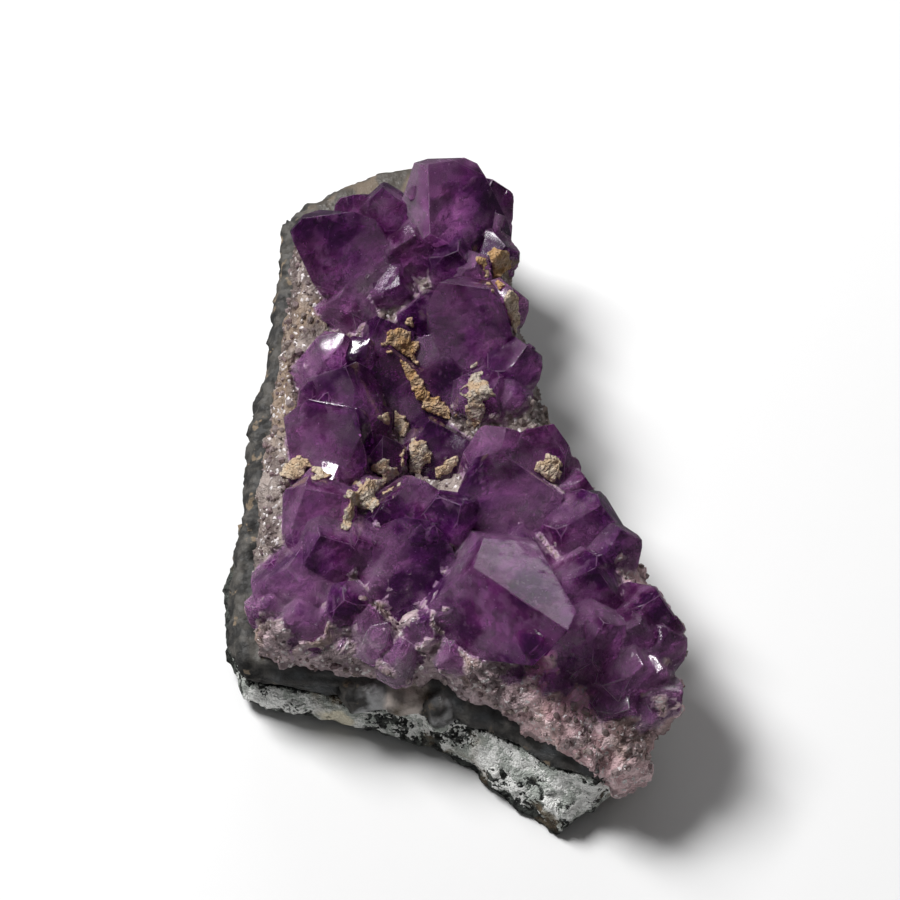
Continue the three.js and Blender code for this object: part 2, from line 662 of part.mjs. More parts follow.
// Low crystals all over the crust, which show where the tall ones leave room.
function lowCrystals() {
  const random = randomFrom(LOW_SEED);
  const rows = [];
  for (let line = 0; line * LOW_SPACING < LOW_SPAN[1]; line++)
    for (let column = 0; column * LOW_SPACING < LOW_SPAN[0]; column++) {
      const stagger = line % 2 ? LOW_SPACING / 2 : 0;
      const x = LOW_START[0] + column * LOW_SPACING + stagger + LOW_JITTER * (random() - 0.5);
      const y = LOW_START[1] + line * LOW_SPACING + LOW_JITTER * (random() - 0.5);
      const height = crustLevel(x, y) + LOW_RISE[0] + LOW_RISE[1] * random();
      const row = {
        across: x,
        up: y * Math.sin(VIEW_ELEVATION) + height * Math.cos(VIEW_ELEVATION),
        height,
        width: LOW_WIDTH[0] + LOW_WIDTH[1] * random(),
        toward: 360 * random(),
        lean: LOW_LEAN * random(),
        face: 360 * random(),
      };
      if (clearOfRim(x, y) && !underTall(x, y) && !bare(x, y)) rows.push(row);
    }
  return rows;
}

function quartz(grow) {
  const rows = [...CRYSTALS, ...lowCrystals()];
  const joined = rows.reduce(
    (all, row, i) => all.add(grown(row, FIRST_SEED + i, grow)),
    crust(grow),
  );
  return joined.intersect(above(AGATE_TOP + JOINT_GAP, 0)).add(lobe(grow));
}

// Lays a calcite patch on the crystals: what of the coat lies within its ovals, with a gap to the crystals.
function calcitePatch(ovals, crystals, coat) {
  const sight = new THREE.Vector3(0, Math.cos(VIEW_ELEVATION), -Math.sin(VIEW_ELEVATION));
  const raycaster = new THREE.Raycaster();
  const columns = ovals.map(({ across, up, wide, tall, turn }) => {
    raycaster.set(place(across, up, SIGHT_START), sight);
    const seat = raycaster.intersectObject(crystals)[0].point;
    const radii = new THREE.Vector3(
      (wide / 2) * CALCITE_WIDENING,
      (tall / 2) * CALCITE_WIDENING,
      CALCITE_REACH,
    );
    const made = lump(radii, CALCITE_ROUGHNESS, CALCITE_DETAIL, seat);
    made.rotateZ(THREE.MathUtils.degToRad(turn));
    made.rotateX(Math.PI / 2 - VIEW_ELEVATION);
    return solid(made.translate(seat.x, seat.y, seat.z));
  });
  const bodies = wasm.Manifold.union(columns).intersect(coat).decompose();
  return bodies.reduce((most, body) => (body.volume() > most.volume() ? body : most));
}

// Named mesh with the colour and surface of its mineral.
function piece(name, made, { color, roughness }) {
  const material = new THREE.MeshStandardMaterial({ color, roughness, flatShading: true });
  const mesh = new THREE.Mesh(geometryOf(made), material);
  mesh.name = name;
  return mesh;
}

const rock = wholeRock();
const basalt = rock.subtract(above(AGATE_BOTTOM, AGATE_SLOPE));
const agate = rock
  .intersect(above(AGATE_BOTTOM + JOINT_GAP, AGATE_SLOPE))
  .subtract(above(AGATE_TOP, 0));
const crystals = piece("amethyst_crystals", quartz(0), MINERALS.amethyst);
const coat = quartz(CALCITE_THICKNESS).subtract(quartz(JOINT_GAP));

const cluster = new THREE.Group();
cluster.add(piece("basalt_matrix", basalt, MINERALS.basalt));
cluster.add(piece("agate_rind", agate, MINERALS.agate));
cluster.add(crystals);
for (const [name, ovals] of Object.entries(CALCITE))
  cluster.add(piece(name, calcitePatch(ovals, crystals, coat), MINERALS.calcite));

// The origin is the middle of the whole piece's box, on the base.
const middle = new THREE.Box3().setFromObject(cluster).getCenter(new THREE.Vector3());
cluster.position.set(-middle.x, -middle.y, 0);

export default cluster;
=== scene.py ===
# An amethyst cluster on its broken piece of rock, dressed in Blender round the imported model.
# Tables are in millimetres and degrees, as on a drawing. Blender's own values are in metres.
import math
from contextlib import contextmanager
from typing import NamedTuple

import bpy
import numpy as np
from bpy.props import FloatProperty, FloatVectorProperty, IntProperty, PointerProperty
from bpy.types import Operator, Panel, PropertyGroup
from mathutils import Matrix, Vector, noise
from mathutils.bvhtree import BVHTree


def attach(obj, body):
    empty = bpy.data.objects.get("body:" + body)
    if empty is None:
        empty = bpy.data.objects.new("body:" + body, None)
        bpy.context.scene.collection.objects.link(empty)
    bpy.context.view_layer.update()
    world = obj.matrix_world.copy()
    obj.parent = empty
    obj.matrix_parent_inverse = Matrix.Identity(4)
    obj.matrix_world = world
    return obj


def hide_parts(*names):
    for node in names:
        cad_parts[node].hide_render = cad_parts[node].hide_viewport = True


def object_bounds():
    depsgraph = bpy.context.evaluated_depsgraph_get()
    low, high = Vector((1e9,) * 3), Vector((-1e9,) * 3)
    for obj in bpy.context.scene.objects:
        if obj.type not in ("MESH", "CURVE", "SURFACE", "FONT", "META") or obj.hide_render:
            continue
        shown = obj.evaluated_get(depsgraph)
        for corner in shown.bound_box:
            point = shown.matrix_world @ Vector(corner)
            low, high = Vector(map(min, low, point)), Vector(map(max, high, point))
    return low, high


bl_info = {
    "name": "Amethyst Cluster",
    "version": (1, 0, 0),
    "blender": (4, 5, 0),
    "location": "3D View > Sidebar > Amethyst",
    "description": "Crystals, crust, rock and calcite of an amethyst cluster",
    "category": "Add Mesh",
}

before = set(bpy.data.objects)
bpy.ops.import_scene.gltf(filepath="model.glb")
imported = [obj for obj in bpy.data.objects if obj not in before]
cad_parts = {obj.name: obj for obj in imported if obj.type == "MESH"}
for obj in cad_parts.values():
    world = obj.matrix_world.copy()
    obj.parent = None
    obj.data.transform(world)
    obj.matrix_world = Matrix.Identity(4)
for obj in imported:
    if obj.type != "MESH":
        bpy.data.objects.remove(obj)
CAD_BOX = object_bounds()

NOISE_SEED = 5
noise.seed_set(NOISE_SEED)  # noise_vector would otherwise start from the clock

MM = 0.001
VIEW_ELEVATION = math.radians(60)  # of the photograph's camera above the horizon
TABLE_ORIGIN = Vector((0.9105, -10.7509, 0))  # where the tables' origin lies in the part's frame
UP_PICTURE = np.array((0, math.sin(VIEW_ELEVATION), math.cos(VIEW_ELEVATION)))
TO_CAMERA = Vector((0, -math.cos(VIEW_ELEVATION), math.sin(VIEW_ELEVATION)))
MERGE_WITHIN = 1e-6  # m, between points that become one
CUT_WITHIN = 1e-7  # m, as near as a point may lie to a cut
LUMP_ROUGHNESS = 0.9  # of each finer octave of lumps
LUMP_RATIO = 2.1  # how much finer it is

# Layers, as heights above the base
AGATE_TOP = 14
CRUST_TOP = 21.5

# Quartz: the angles of its faces, and how crystals differ
PYRAMID_ANGLE = math.radians(51.8)  # from a pyramid face's normal to the crystal's axis
PRISM_TAPER = math.radians(2.5)
MINOR_STEP = 0.1  # how far the three lesser pyramid faces are set back, as a share of the width
USUAL_CUT = 0.05  # how far at most the greatest face is set in, as a share of the width
SIDE_SPREAD = 0.14
ROOT_DEPTH = 4
LEAST_HEIGHT = 1
FIRST_SEED = 100

# Low crystals that fill the room between the others
LOW_SPACING = 6.5
LOW_START = (-36, -44)
LOW_SPAN = (74, 110)
LOW_SEED = 41
TONE_SEED = 7
LOW_JITTER = 2
LOW_WIDTH = (6, 3)
LOW_RISE = (2.2, 2)
LOW_LEAN = 22
LOW_CLEARANCE = 4.5
LOW_COVER = 0.5
BARE = [(-27, 24, 8), (-12, -19, 7), (-4, -21, 5), (9, -28, 8), (24, -34, 8)]  # X, Y, radius

# Hollows and swells of the crust: X, Y, spread and height
CRUST_RELIEF = [
    (-5, 24, 7, -4.5),
    (-8, 11, 6, -4),
    (9, -18, 12, 2),
    (24, -36, 8, -3),
    (-8, -19, 3, 3),
    (-9, -24, 2.5, -4),
    (21, -31, 2.5, -4),
]

# The rim of the quartz crust, anticlockwise from the back
CRUST_RIM = [
    (-2, 58.5), (-8, 57.5), (-15, 55), (-21.5, 52.5), (-25, 49), (-25.5, 40),
    (-27, 27), (-28.4, 15), (-29, 4), (-29.3, -2), (-29.4, -9), (-29.5, -16),
    (-29.3, -21.8), (-25, -23.4), (-17, -24.4), (-11, -24.8), (-4, -25.8), (2, -29),
    (8, -32), (14, -36), (20, -39.4), (26, -38), (32, -31.5), (32, -22),
    (27, -9), (21, 2), (14, 14), (11, 28), (8, 42), (4, 56),
]  # fmt: skip


class Crystal(NamedTuple):
    """A crystal's tip, across and up the photograph and above the base, and how it stands.

    toward and lean say where its axis leans and by how much, and face where its greatest face looks.
    cut and steps set pyramid faces back, as shares of the width. tone is how deep its colour is, and fade
    by how much deeper it gets across and up the picture, over one width.
    """

    across: float
    up: float
    height: float
    width: float
    toward: float
    lean: float
    face: float
    cut: float = None
    steps: tuple = None
    tone: float = None
    fade: tuple = (0, 0)


CRYSTALS = [
    Crystal(
        -1.9, 60.6, 36.5, 14.3, 204.5, 7.5, 327.5,
        steps=(-0.24, 0.01, 0.09, 0.26, 0.01, 0.25), tone=-0.15, fade=(3.4, -0.5),
    ),  # fmt: skip
    Crystal(5.8, 60.5, 28, 9, 40, 20, 310, tone=0.8),
    Crystal(7.2, 55, 25, 9, 0, 30, 330),
    Crystal(-11.3, 59, 31, 8, 120, 10, 270),
    Crystal(-16, 58, 28, 7, 150, 15, 210),
    Crystal(
        -19.2, 51.7, 33.5, 12.1, 201.5, 19.7, 316.5,
        steps=(-0.29, 0.39, 0.14, 0.35, 0.36, 0.12), tone=1.0, fade=(-0.4, 0.9),
    ),  # fmt: skip
    Crystal(-6.3, 51.3, 29, 10, 290, 20, 270, tone=0.5),
    Crystal(0.3, 49, 28, 9, 300, 20, 260, tone=0.75),
    Crystal(7.8, 50, 25, 8, 330, 30, 300),
    Crystal(2.8, 46.5, 27, 5.5, 270, 25, 250),
    Crystal(-8.5, 43.8, 25, 9, 300, 30, 270, tone=1.1),
    Crystal(-5.5, 41, 27, 9, 200, 15, 250, cut=0.2, tone=1.3),
    Crystal(-11, 38.5, 26, 8, 100, 10, 300, cut=0.15),
    Crystal(-4.5, 36, 24, 8, 80, 10, 240, cut=0.2),
    Crystal(8.8, 43, 28, 8, 350, 25, 300),
    Crystal(-18, 41.8, 25.5, 9, 230, 15, 250, tone=0.5),
    Crystal(
        1.2, 41, 33.8, 11.9, 239, 7.3, 259.5,
        steps=(-0.23, 0.27, 0.27, 0.15, 0.36, 0.13), tone=0.6, fade=(0.2, 0.3),
    ),  # fmt: skip
    Crystal(-16.5, 36, 27, 6, 25, 32, 205, cut=-0.1),
    Crystal(-12.8, 35.3, 26, 5.5, 21, 35, 201, cut=-0.08),
    Crystal(10.8, 34.3, 28, 9, 0, 20, 300),
    Crystal(-1.6, 32, 26, 12, 60, 8, 262, cut=0.26, tone=1.3),
    Crystal(-10, 33, 26, 12, 90, 8, 276, cut=0.26, tone=1.3),
    Crystal(-16, 31.3, 30, 12, 60, 12, 0, cut=0.05, tone=0.8, fade=(0, 0.5)),
    Crystal(9.5, 27.5, 26, 7, 320, 22, 290),
    Crystal(5.5, 27.5, 27, 8, 300, 25, 240),
    Crystal(
        -20.3, 25.9, 31.9, 12, 110.5, 17, 250.5,
        steps=(-0.25, 0.15, 0.19, 0.02, 0.12, 0.08), tone=0.7, fade=(0, -0.3),
    ),  # fmt: skip
    Crystal(-3.6, 22.5, 24, 11, 120, 10, 285, cut=0.2, tone=1.3),
    Crystal(-10.6, 21.3, 24, 6, 90, 20, 60, cut=0.1),
    Crystal(7.3, 22, 29.5, 9, 60, 15, 200),
    Crystal(11.6, 22.4, 30.4, 8.5, 125.5, 12.5, 283.5, steps=(-0.24, -0.06, 0.13, -0.05, 0.02, 0.01)),
    Crystal(16.5, 18, 24.5, 9, 10, 25, 320, tone=0.7),
    Crystal(5.8, 18.5, 27.5, 9, 190, 20, 220),
    Crystal(
        7.8, 16.5, 30.7, 15.5, 92, 13, 282,
        steps=(-0.11, 0.41, 0.03, 0.14, 0.18, 0.17), tone=0.8, fade=(-0.3, 0),
    ),  # fmt: skip
    Crystal(19.3, 14.5, 24, 7, 0, 26, 280, tone=0.4),
    Crystal(-21.8, 12.5, 31, 11, 200, 10, 300, cut=0.1),
    Crystal(-9.3, 11.5, 29, 12, 210, 15, 240, tone=1.0),
    Crystal(0.8, 10.5, 30, 8, 330, 20, 330, tone=1.0),
    Crystal(21.3, 10.5, 29.5, 12, 0, 15, 270, tone=0.95),
    Crystal(
        -6.3, 5.6, 32.4, 12.6, 29.5, 10, 267.5,
        steps=(-0.34, 0.33, 0.2, 0.22, 0.14, -0.18), tone=0.95, fade=(0.3, 0),
    ),  # fmt: skip
    Crystal(24.3, 6.8, 28, 8, 350, 16, 300, tone=0.85),
    Crystal(9.5, 6.3, 27, 13, 100, 8, 270, tone=0.7),
    Crystal(-19.8, 6, 30, 16.5, 240, 12, 290, tone=0.55, fade=(0.3, -0.3)),
    Crystal(-14.3, 5.5, 28, 11, 240, 10, 290),
    Crystal(-24.8, 1.2, 28, 13, 220, 15, 250, tone=0.35),
    Crystal(20.3, 1.5, 31, 14, 0, 10, 260, tone=0.9),
    Crystal(
        8.4, -4.8, 37.7, 17.7, 288, 33.7, 207.5,
        steps=(-0.18, 0.4, 0.41, 0.38, 0, 0.22), tone=0.9, fade=(-0.2, -0.6),
    ),  # fmt: skip
    Crystal(29.5, -2.5, 29, 13, 20, 20, 270, tone=0.95),
    Crystal(-16.3, -3.3, 27, 7, 260, 20, 280),
    Crystal(-23, -5, 26, 9, 240, 15, 270),
    Crystal(-4.8, -6.5, 26, 6, 255, 18, 240),
    Crystal(17.5, -7.5, 30, 9, 280, 15, 240, cut=0.1, tone=0.2),
    Crystal(21.3, -6.3, 31, 10, 300, 12, 300, tone=0.4),
    Crystal(-1, -11.5, 24.5, 5, 250, 25, 270),
    Crystal(27, -12.5, 27, 10, 310, 25, 290, tone=0.1),
    Crystal(33, -16.5, 22, 7, 340, 45, 0, tone=0.0),
    Crystal(-28, -4.5, 23.5, 8, 240, 30, 250, cut=0.1, tone=0.25),
    Crystal(-20.5, -7, 24, 7.5, 255, 30, 240, tone=0.3),
    Crystal(-24, -9.5, 20.5, 6, 250, 35, 270, tone=0.3),
    Crystal(-17, -10.4, 20.5, 5.5, 265, 35, 250, tone=0.2),
    Crystal(-14, -9.8, 20.5, 6, 275, 30, 290, cut=0.1, tone=0.35),
    Crystal(-12.5, -4, 25, 4.5, 60, 20, 280, tone=0.1),
    Crystal(-10, -6.5, 24, 4.5, 40, 25, 240, tone=0.0),
    Crystal(-7.5, -9, 23, 4.5, 50, 20, 300, tone=0.05),
    Crystal(-5, -11.5, 20.5, 4, 300, 25, 260, tone=0.1),
    Crystal(-1, -5.5, 28, 7.5, 250, 25, 250, cut=0.1, tone=0.4),
    Crystal(3.5, -13, 23, 7.5, 265, 35, 265, cut=0.12, tone=0.15),
    Crystal(9, -14.5, 22.5, 7, 280, 35, 250, tone=0.3),
    Crystal(14, -16, 22.5, 6.5, 270, 35, 280, tone=-0.1),
    Crystal(19.5, -13, 25, 9, 275, 32, 275, cut=0.1, tone=-0.1),
    Crystal(25, -19, 22, 8, 290, 40, 270, tone=-0.2),
    Crystal(30, -13, 25, 7, 330, 30, 290, tone=0.1),
    Crystal(31, -7.5, 27, 7, 350, 18, 300, tone=0.6),
    Crystal(26.5, -6.5, 29, 7, 280, 15, 260, tone=0.5),
    Crystal(29, -20.5, 20, 6.5, 310, 45, 300, tone=0.1),
    Crystal(-17.8, 16.8, 26.5, 4, 21, 35, 201, cut=0.3, tone=0.4),
]


def numbers_from(seed):
    """The same small numbers each time, from 0 to 1."""
    while True:
        seed = (seed * 1664525 + 1013904223) % 2**32
        yield seed / 2**32


def place(across, up, height):
    """The place of a point of the photograph that lies at this height above the base."""
    return Vector((across, (up - height * math.cos(VIEW_ELEVATION)) / math.sin(VIEW_ELEVATION), height))


def in_frame(point):
    """A place from the tables, as metres in the part's frame."""
    return (Vector(point) + TABLE_ORIGIN) * MM


def crust_level(x, y):
    """Height of the crust without its roughness, from which the crystals are measured."""
    return CRUST_TOP + sum(
        rise * math.exp(-((x - cx) ** 2 + (y - cy) ** 2) / (2 * spread**2))
        for cx, cy, spread, rise in CRUST_RELIEF
    )


class Planes(NamedTuple):
    """The flat faces of one crystal, in metres in the part's frame."""

    tip: Vector
    axis: Vector
    normals: list
    distances: list  # of each face from the tip
    height: float  # of the tip above the crust, along the axis
    width: float
    turn: Matrix
    tone: float
    fade: tuple


def planes_of(row, seed, tone):
    """Works out a crystal's faces: its foot, six prism sides and the six faces of its pyramid."""
    number = numbers_from(seed)
    tip = place(row.across, row.up, row.height)
    toward, lean, face = (math.radians(a) for a in (row.toward, row.lean, row.face))
    level = crust_level(tip.x, tip.y)
    length = (row.height - level + ROOT_DEPTH) / math.cos(lean)
    sideways = Vector((-math.sin(toward), math.cos(toward), 0))
    turn = Matrix.Rotation(lean, 3, sideways) @ Matrix.Rotation(face, 3, "Z")
    taper = row.width / 2 * math.tan(PYRAMID_ANGLE) * math.tan(PRISM_TAPER)
    normals = [turn @ Vector((0, 0, -1))]
    distances = [length * MM]
    for k in range(6):
        around = k * math.pi / 3
        step_share, side_share = next(number), next(number)
        if row.steps:
            step = row.steps[k]
        elif k % 2:
            step = MINOR_STEP * (0.5 + step_share)
        elif k == 0:
            step = -(USUAL_CUT * step_share if row.cut is None else row.cut)
        else:
            step = 0
        half = row.width / 2 * (1 + SIDE_SPREAD * (2 * side_share - 1))
        faces = ((PYRAMID_ANGLE, step * row.width), (math.pi / 2 - PRISM_TAPER, half - taper))
        for angle, distance in faces:
            out = math.sin(angle)
            normal = Vector((math.cos(around) * out, math.sin(around) * out, math.cos(angle)))
            normals.append(turn @ normal)
            distances.append(distance * MM)
    height = max(row.height - level, LEAST_HEIGHT) / math.cos(lean) * MM
    axis = turn @ Vector((0, 0, 1))
    return Planes(in_frame(tip), axis, normals, distances, height, row.width * MM, turn, tone, row.fade)


def inside_rim(x, y):
    """Whether a place lies on the crust."""
    inside = False
    for i, (ax, ay) in enumerate(CRUST_RIM):
        bx, by = CRUST_RIM[(i + 1) % len(CRUST_RIM)]
        if (ay > y) != (by > y) and x < (bx - ax) * (y - ay) / (by - ay) + ax:
            inside = not inside
    return inside


def clear_of_rim(x, y):
    turns = [k * math.pi / 4 for k in range(8)]
    return all(inside_rim(x + LOW_CLEARANCE * math.cos(t), y + LOW_CLEARANCE * math.sin(t)) for t in turns)


def under_tall(x, y):
    tips = ((place(row.across, row.up, row.height), row.width) for row in CRYSTALS)
    return any(math.hypot(tip.x - x, tip.y - y) < LOW_COVER * width for tip, width in tips)


def low_crystals():
    """Low crystals all over the crust, which show where the tall ones leave room."""
    number = numbers_from(LOW_SEED)
    rows = []
    for line in range(math.ceil(LOW_SPAN[1] / LOW_SPACING)):
        for column in range(math.ceil(LOW_SPAN[0] / LOW_SPACING)):
            stagger = LOW_SPACING / 2 if line % 2 else 0
            x = LOW_START[0] + column * LOW_SPACING + stagger + LOW_JITTER * (next(number) - 0.5)
            y = LOW_START[1] + line * LOW_SPACING + LOW_JITTER * (next(number) - 0.5)
            height = crust_level(x, y) + LOW_RISE[0] + LOW_RISE[1] * next(number)
            width = LOW_WIDTH[0] + LOW_WIDTH[1] * next(number)
            toward, lean, face = 360 * next(number), LOW_LEAN * next(number), 360 * next(number)
            up = y * math.sin(VIEW_ELEVATION) + height * math.cos(VIEW_ELEVATION)
            bare = any(math.hypot(bx - x, by - y) < radius for bx, by, radius in BARE)
            if clear_of_rim(x, y) and not under_tall(x, y) and not bare:
                rows.append(Crystal(x, up, height, width, toward, lean, face))
    return rows


def all_planes():
    """The faces of every crystal that the solid has."""
    tones = numbers_from(TONE_SEED)
    rows = CRYSTALS + low_crystals()
    return [
        planes_of(row, FIRST_SEED + i, next(tones) if row.tone is None else row.tone)
        for i, row in enumerate(rows)
    ]


GROWTH_SEED = 900
GROWTH_LEAST_WIDTH = 8 * MM  # of a crystal that carries smaller ones on its flank
GROWTH_COUNT = 4  # at most on one crystal
GROWTH_REACH = (0.3, 0.5)  # from the axis, as a share of the width
GROWTH_WIDTH = (0.16, 0.34)  # the same
GROWTH_RISE = (0.02, 0.07)  # above the face that it stands on, the same
GROWTH_FOOT = 0.6  # how deep it reaches, as a share of the larger one's height
GROWTH_STEP = 0.06  # how far every other face is set in, as a share of its own width


def growths_on(crystal, number):
    """Small crystals that stand on a larger one's pyramid, parallel to it, as steps in its faces."""
    if crystal.width < GROWTH_LEAST_WIDTH:
        return []
    made = []
    for _ in range(int(next(number) * (GROWTH_COUNT + 1))):
        around, reach, size, rise = (next(number) for _ in range(4))
        around *= 2 * math.pi
        reach = crystal.width * np.interp(reach, (0, 1), GROWTH_REACH)
        size = crystal.width * np.interp(size, (0, 1), GROWTH_WIDTH)
        rise = crystal.width * np.interp(rise, (0, 1), GROWTH_RISE)
        aside = crystal.turn @ Vector((math.cos(around) * reach, math.sin(around) * reach, 0))
        drop = max(
            (aside.dot(n) - d) / crystal.axis.dot(n)
            for n, d in zip(crystal.normals[1::2], crystal.distances[1::2])
        )
        tip = crystal.tip + aside - crystal.axis * (drop - rise)
        normals, distances = list(crystal.normals), [crystal.height * GROWTH_FOOT]
        for k in range(6):
            distances.append(size * GROWTH_STEP * (k % 2))
            distances.append(size / 2)
        made.append(crystal._replace(tip=tip, normals=normals, distances=distances, width=size))
    return made


def alone(obj):
    """Makes this the only selected object, and the active one."""
    bpy.ops.object.select_all(action="DESELECT")
    obj.select_set(True)
    bpy.context.view_layer.objects.active = obj


@contextmanager
def editing(obj, chosen="SELECT"):
    """Opens an object in edit mode, with all of it selected or none, and closes it afterwards."""
    alone(obj)
    bpy.ops.object.mode_set(mode="EDIT")
    bpy.ops.mesh.select_all(action=chosen)
    yield
    bpy.ops.object.mode_set(mode="OBJECT")


def doubled(obj):
    """Gives a flat sheet a second side one metre up, and walls all round."""
    with editing(obj):
        bpy.ops.mesh.extrude_region_move(TRANSFORM_OT_translate={"value": (0, 0, 1)})


def faced_outwards(obj):
    with editing(obj):
        bpy.ops.mesh.normals_make_consistent(inside=False)
    return obj


def finished(obj, kind, **settings):
    """Adds a modifier to an object and applies it."""
    alone(obj)
    modifier = obj.modifiers.new(kind.title(), kind)
    for name, value in settings.items():
        setattr(modifier, name, value)
    bpy.ops.object.modifier_apply(modifier=modifier.name)
    return obj


def copy_of(node, name):
    """A copy of a CAD node with a mesh of its own, its loose triangles merged."""
    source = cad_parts[node]
    made = bpy.data.objects.new(name, source.data.copy())
    made.data.materials.clear()
    bpy.context.scene.collection.objects.link(made)
    with editing(made):
        bpy.ops.mesh.remove_doubles(threshold=MERGE_WITHIN)
    return made


def remeshed(obj, cell):
    """Gives an object an even mesh whose cells have this size."""
    return finished(obj, "REMESH", mode="VOXEL", voxel_size=cell)


def triples(items, name):
    """A place or direction of every item of a mesh, as rows of three."""
    flat = np.empty(len(items) * 3)
    items.foreach_get(name, flat)
    return flat.reshape(-1, 3)


def points_of(mesh):
    return triples(mesh.vertices, "co")


def normals_of(mesh):
    return triples(mesh.vertex_normals, "vector")


def set_points(mesh, points):
    mesh.vertices.foreach_set("co", np.ascontiguousarray(points, dtype=np.float32).ravel())
    mesh.update()


def on_table(points):
    """Points of the part's frame, in the millimetres of the tables."""
    return points / MM - np.array(TABLE_ORIGIN)


def lumps(points, size, octaves=1, slice_at=0.0):
    """Smooth noise from about -1 to 1 at each point, with lumps of this size in millimetres."""
    away = Vector((slice_at, slice_at * 1.7, -slice_at))
    places = [Vector(p) / (size * MM) + away for p in points]
    if octaves > 1:
        return np.array([noise.fractal(at, LUMP_ROUGHNESS, LUMP_RATIO, octaves) for at in places])
    return np.array([noise.noise(at) for at in places])


def uneven(points, layers):
    """Adds up lumps. Each layer has its depth and size in millimetres, its octaves and its slice."""
    return sum(depth * lumps(points, *layer) for depth, *layer in layers)


def grains(points, size):
    """Angular lumps of this size side by side, from 0 at their borders to about 1 in their middles."""
    nearest = [noise.voronoi(Vector(p) / (size * MM))[0] for p in points]
    return np.array([near[1] - near[0] for near in nearest])


def chunks(points, size):
    """Flats of this size side by side, each tilted its own way, from about -1 to 1."""
    values = []
    for p in points:
        at = Vector(p) / (size * MM)
        _, middles = noise.voronoi(at)
        tilt = noise.noise_vector(middles[0] * 7.3)
        values.append(2.0 * (at - middles[0]).dot(tilt) + noise.noise(middles[0] * 5.1))
    return np.array(values)


def step_between(low, high, values):
    """Rises smoothly from 0 at low to 1 at high."""
    share = np.clip((values - low) / (high - low), 0, 1)
    return share * share * (3 - 2 * share)


def mark(mesh, domain="POINT", **kinds):
    """Keeps numbers for each point, face or corner of a mesh, for its material to read by name."""
    for name, values in kinds.items():
        attribute = mesh.attributes.new(name, "FLOAT", domain)
        attribute.data.foreach_set("value", np.ascontiguousarray(values, dtype=np.float32))


def dressed(obj, material, node, smooth=None):
    """Gives a piece its material and its body, and hides the CAD node that it stands for."""
    obj.data.materials.clear()
    obj.data.materials.append(material)
    alone(obj)
    if smooth is None:
        bpy.ops.object.shade_smooth()
    else:
        bpy.ops.object.shade_smooth_by_angle(angle=math.radians(smooth))
    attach(obj, "root")
    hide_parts(node)


class Patches(NamedTuple):
    """Irregular patches: how fine they are, per metre, and between which levels noise is cut to them.

    Below 1, along draws them out into streaks.
    """

    scale: float
    low: float
    high: float
    detail: float = 3
    along: float = 1


class Grain(NamedTuple):
    """Fine relief: how fine it is, per metre, and how rough."""

    scale: float
    roughness: float = 0.6
    detail: float = 4


class Shader:
    """Builds a material or a shader group node by node."""

    def __init__(self, tree):
        self.tree = tree

    def feed(self, socket, value):
        """Links an input to another node's output, or gives it a number, a vector or a colour."""
        if isinstance(value, bpy.types.NodeSocket):
            self.tree.links.new(value, socket)
        else:
            socket.default_value = (*value, 1.0) if socket.type == "RGBA" else value

    def add(self, kind, values=None, **settings):
        """Adds a node with these settings, and with these values for its inputs."""
        node = self.tree.nodes.new(kind)
        for name, value in settings.items():
            setattr(node, name, value)
        for name, value in (values or {}).items():
            self.feed(node.inputs[name], value)
        return node

    def mix(self, share, one, other):
        """A colour between two colours."""
        values = {"Factor": share, 6: one, 7: other}
        return self.add("ShaderNodeMix", values, data_type="RGBA").outputs[2]

    def math(self, operation, *values):
        return self.add("ShaderNodeMath", dict(enumerate(values)), operation=operation).outputs[0]

    def times(self, one, other):
        return self.math("MULTIPLY", one, other)

    def plus(self, total, *others):
        for other in others:
            total = self.math("ADD", total, other)
        return total

    def minus(self, one, other):
        return self.math("SUBTRACT", one, other)

    def weighed(self, shares, values):
        """Adds up values, each times its share."""
        return self.plus(*(self.times(values[name], share) for name, share in shares.items()))

    def between(self, value, low, high):
        """Rises smoothly from 0 where a value is low to 1 where it is high."""
        values = {"Value": value, "From Min": low, "From Max": high}
        return self.add("ShaderNodeMapRange", values, interpolation_type="SMOOTHSTEP").outputs[0]

    def attribute(self, name):
        return self.add("ShaderNodeAttribute", attribute_name=name).outputs["Fac"]

    def place(self):
        return self.add("ShaderNodeTexCoord").outputs["Object"]

    def grouped(self, group, pattern):
        """A shared group, with a pattern's numbers for its inputs."""
        values = {name.title(): value for name, value in pattern.items()}
        return self.add("ShaderNodeGroup", values, node_tree=group_of(group)).outputs

    def patches(self, *pattern):
        return self.grouped("Mineral patches", Patches(*pattern)._asdict())["Mask"]

    def grain(self, *pattern):
        return self.grouped("Mineral grain", Grain(*pattern)._asdict())["Height"]

    def cells(self, scale):
        """Grains side by side: a random tone for each, and how high it stands between its borders."""
        outputs = self.grouped("Mineral cells", {"scale": scale})
        return outputs["Tone"], outputs["Height"]


CELL_BEND = 1.2  # of a cell's size, how far its border may wander
CELL_BORDER = 0.35  # of a cell's size, how wide its sloping border is


def draw_patches(shader, given):
    """Noise in object space, cut to a mask of patches between two levels."""
    squeeze = shader.add("ShaderNodeCombineXYZ", {"X": 1.0, "Y": given["Along"], "Z": 1.0})
    values = {0: shader.place(), 1: squeeze.outputs[0]}
    drawn = shader.add("ShaderNodeVectorMath", values, operation="MULTIPLY")
    values = {"Vector": drawn.outputs[0], "Scale": given["Scale"], "Detail": given["Detail"]}
    cloud = shader.add("ShaderNodeTexNoise", values)
    return {"Mask": shader.between(cloud.outputs[0], given["Low"], given["High"])}


def draw_grain(shader, given):
    """Fine noise in object space, for bumps."""
    values = {name: given[name] for name in ("Scale", "Detail", "Roughness")}
    return {"Height": shader.add("ShaderNodeTexNoise", {"Vector": shader.place(), **values}).outputs[0]}


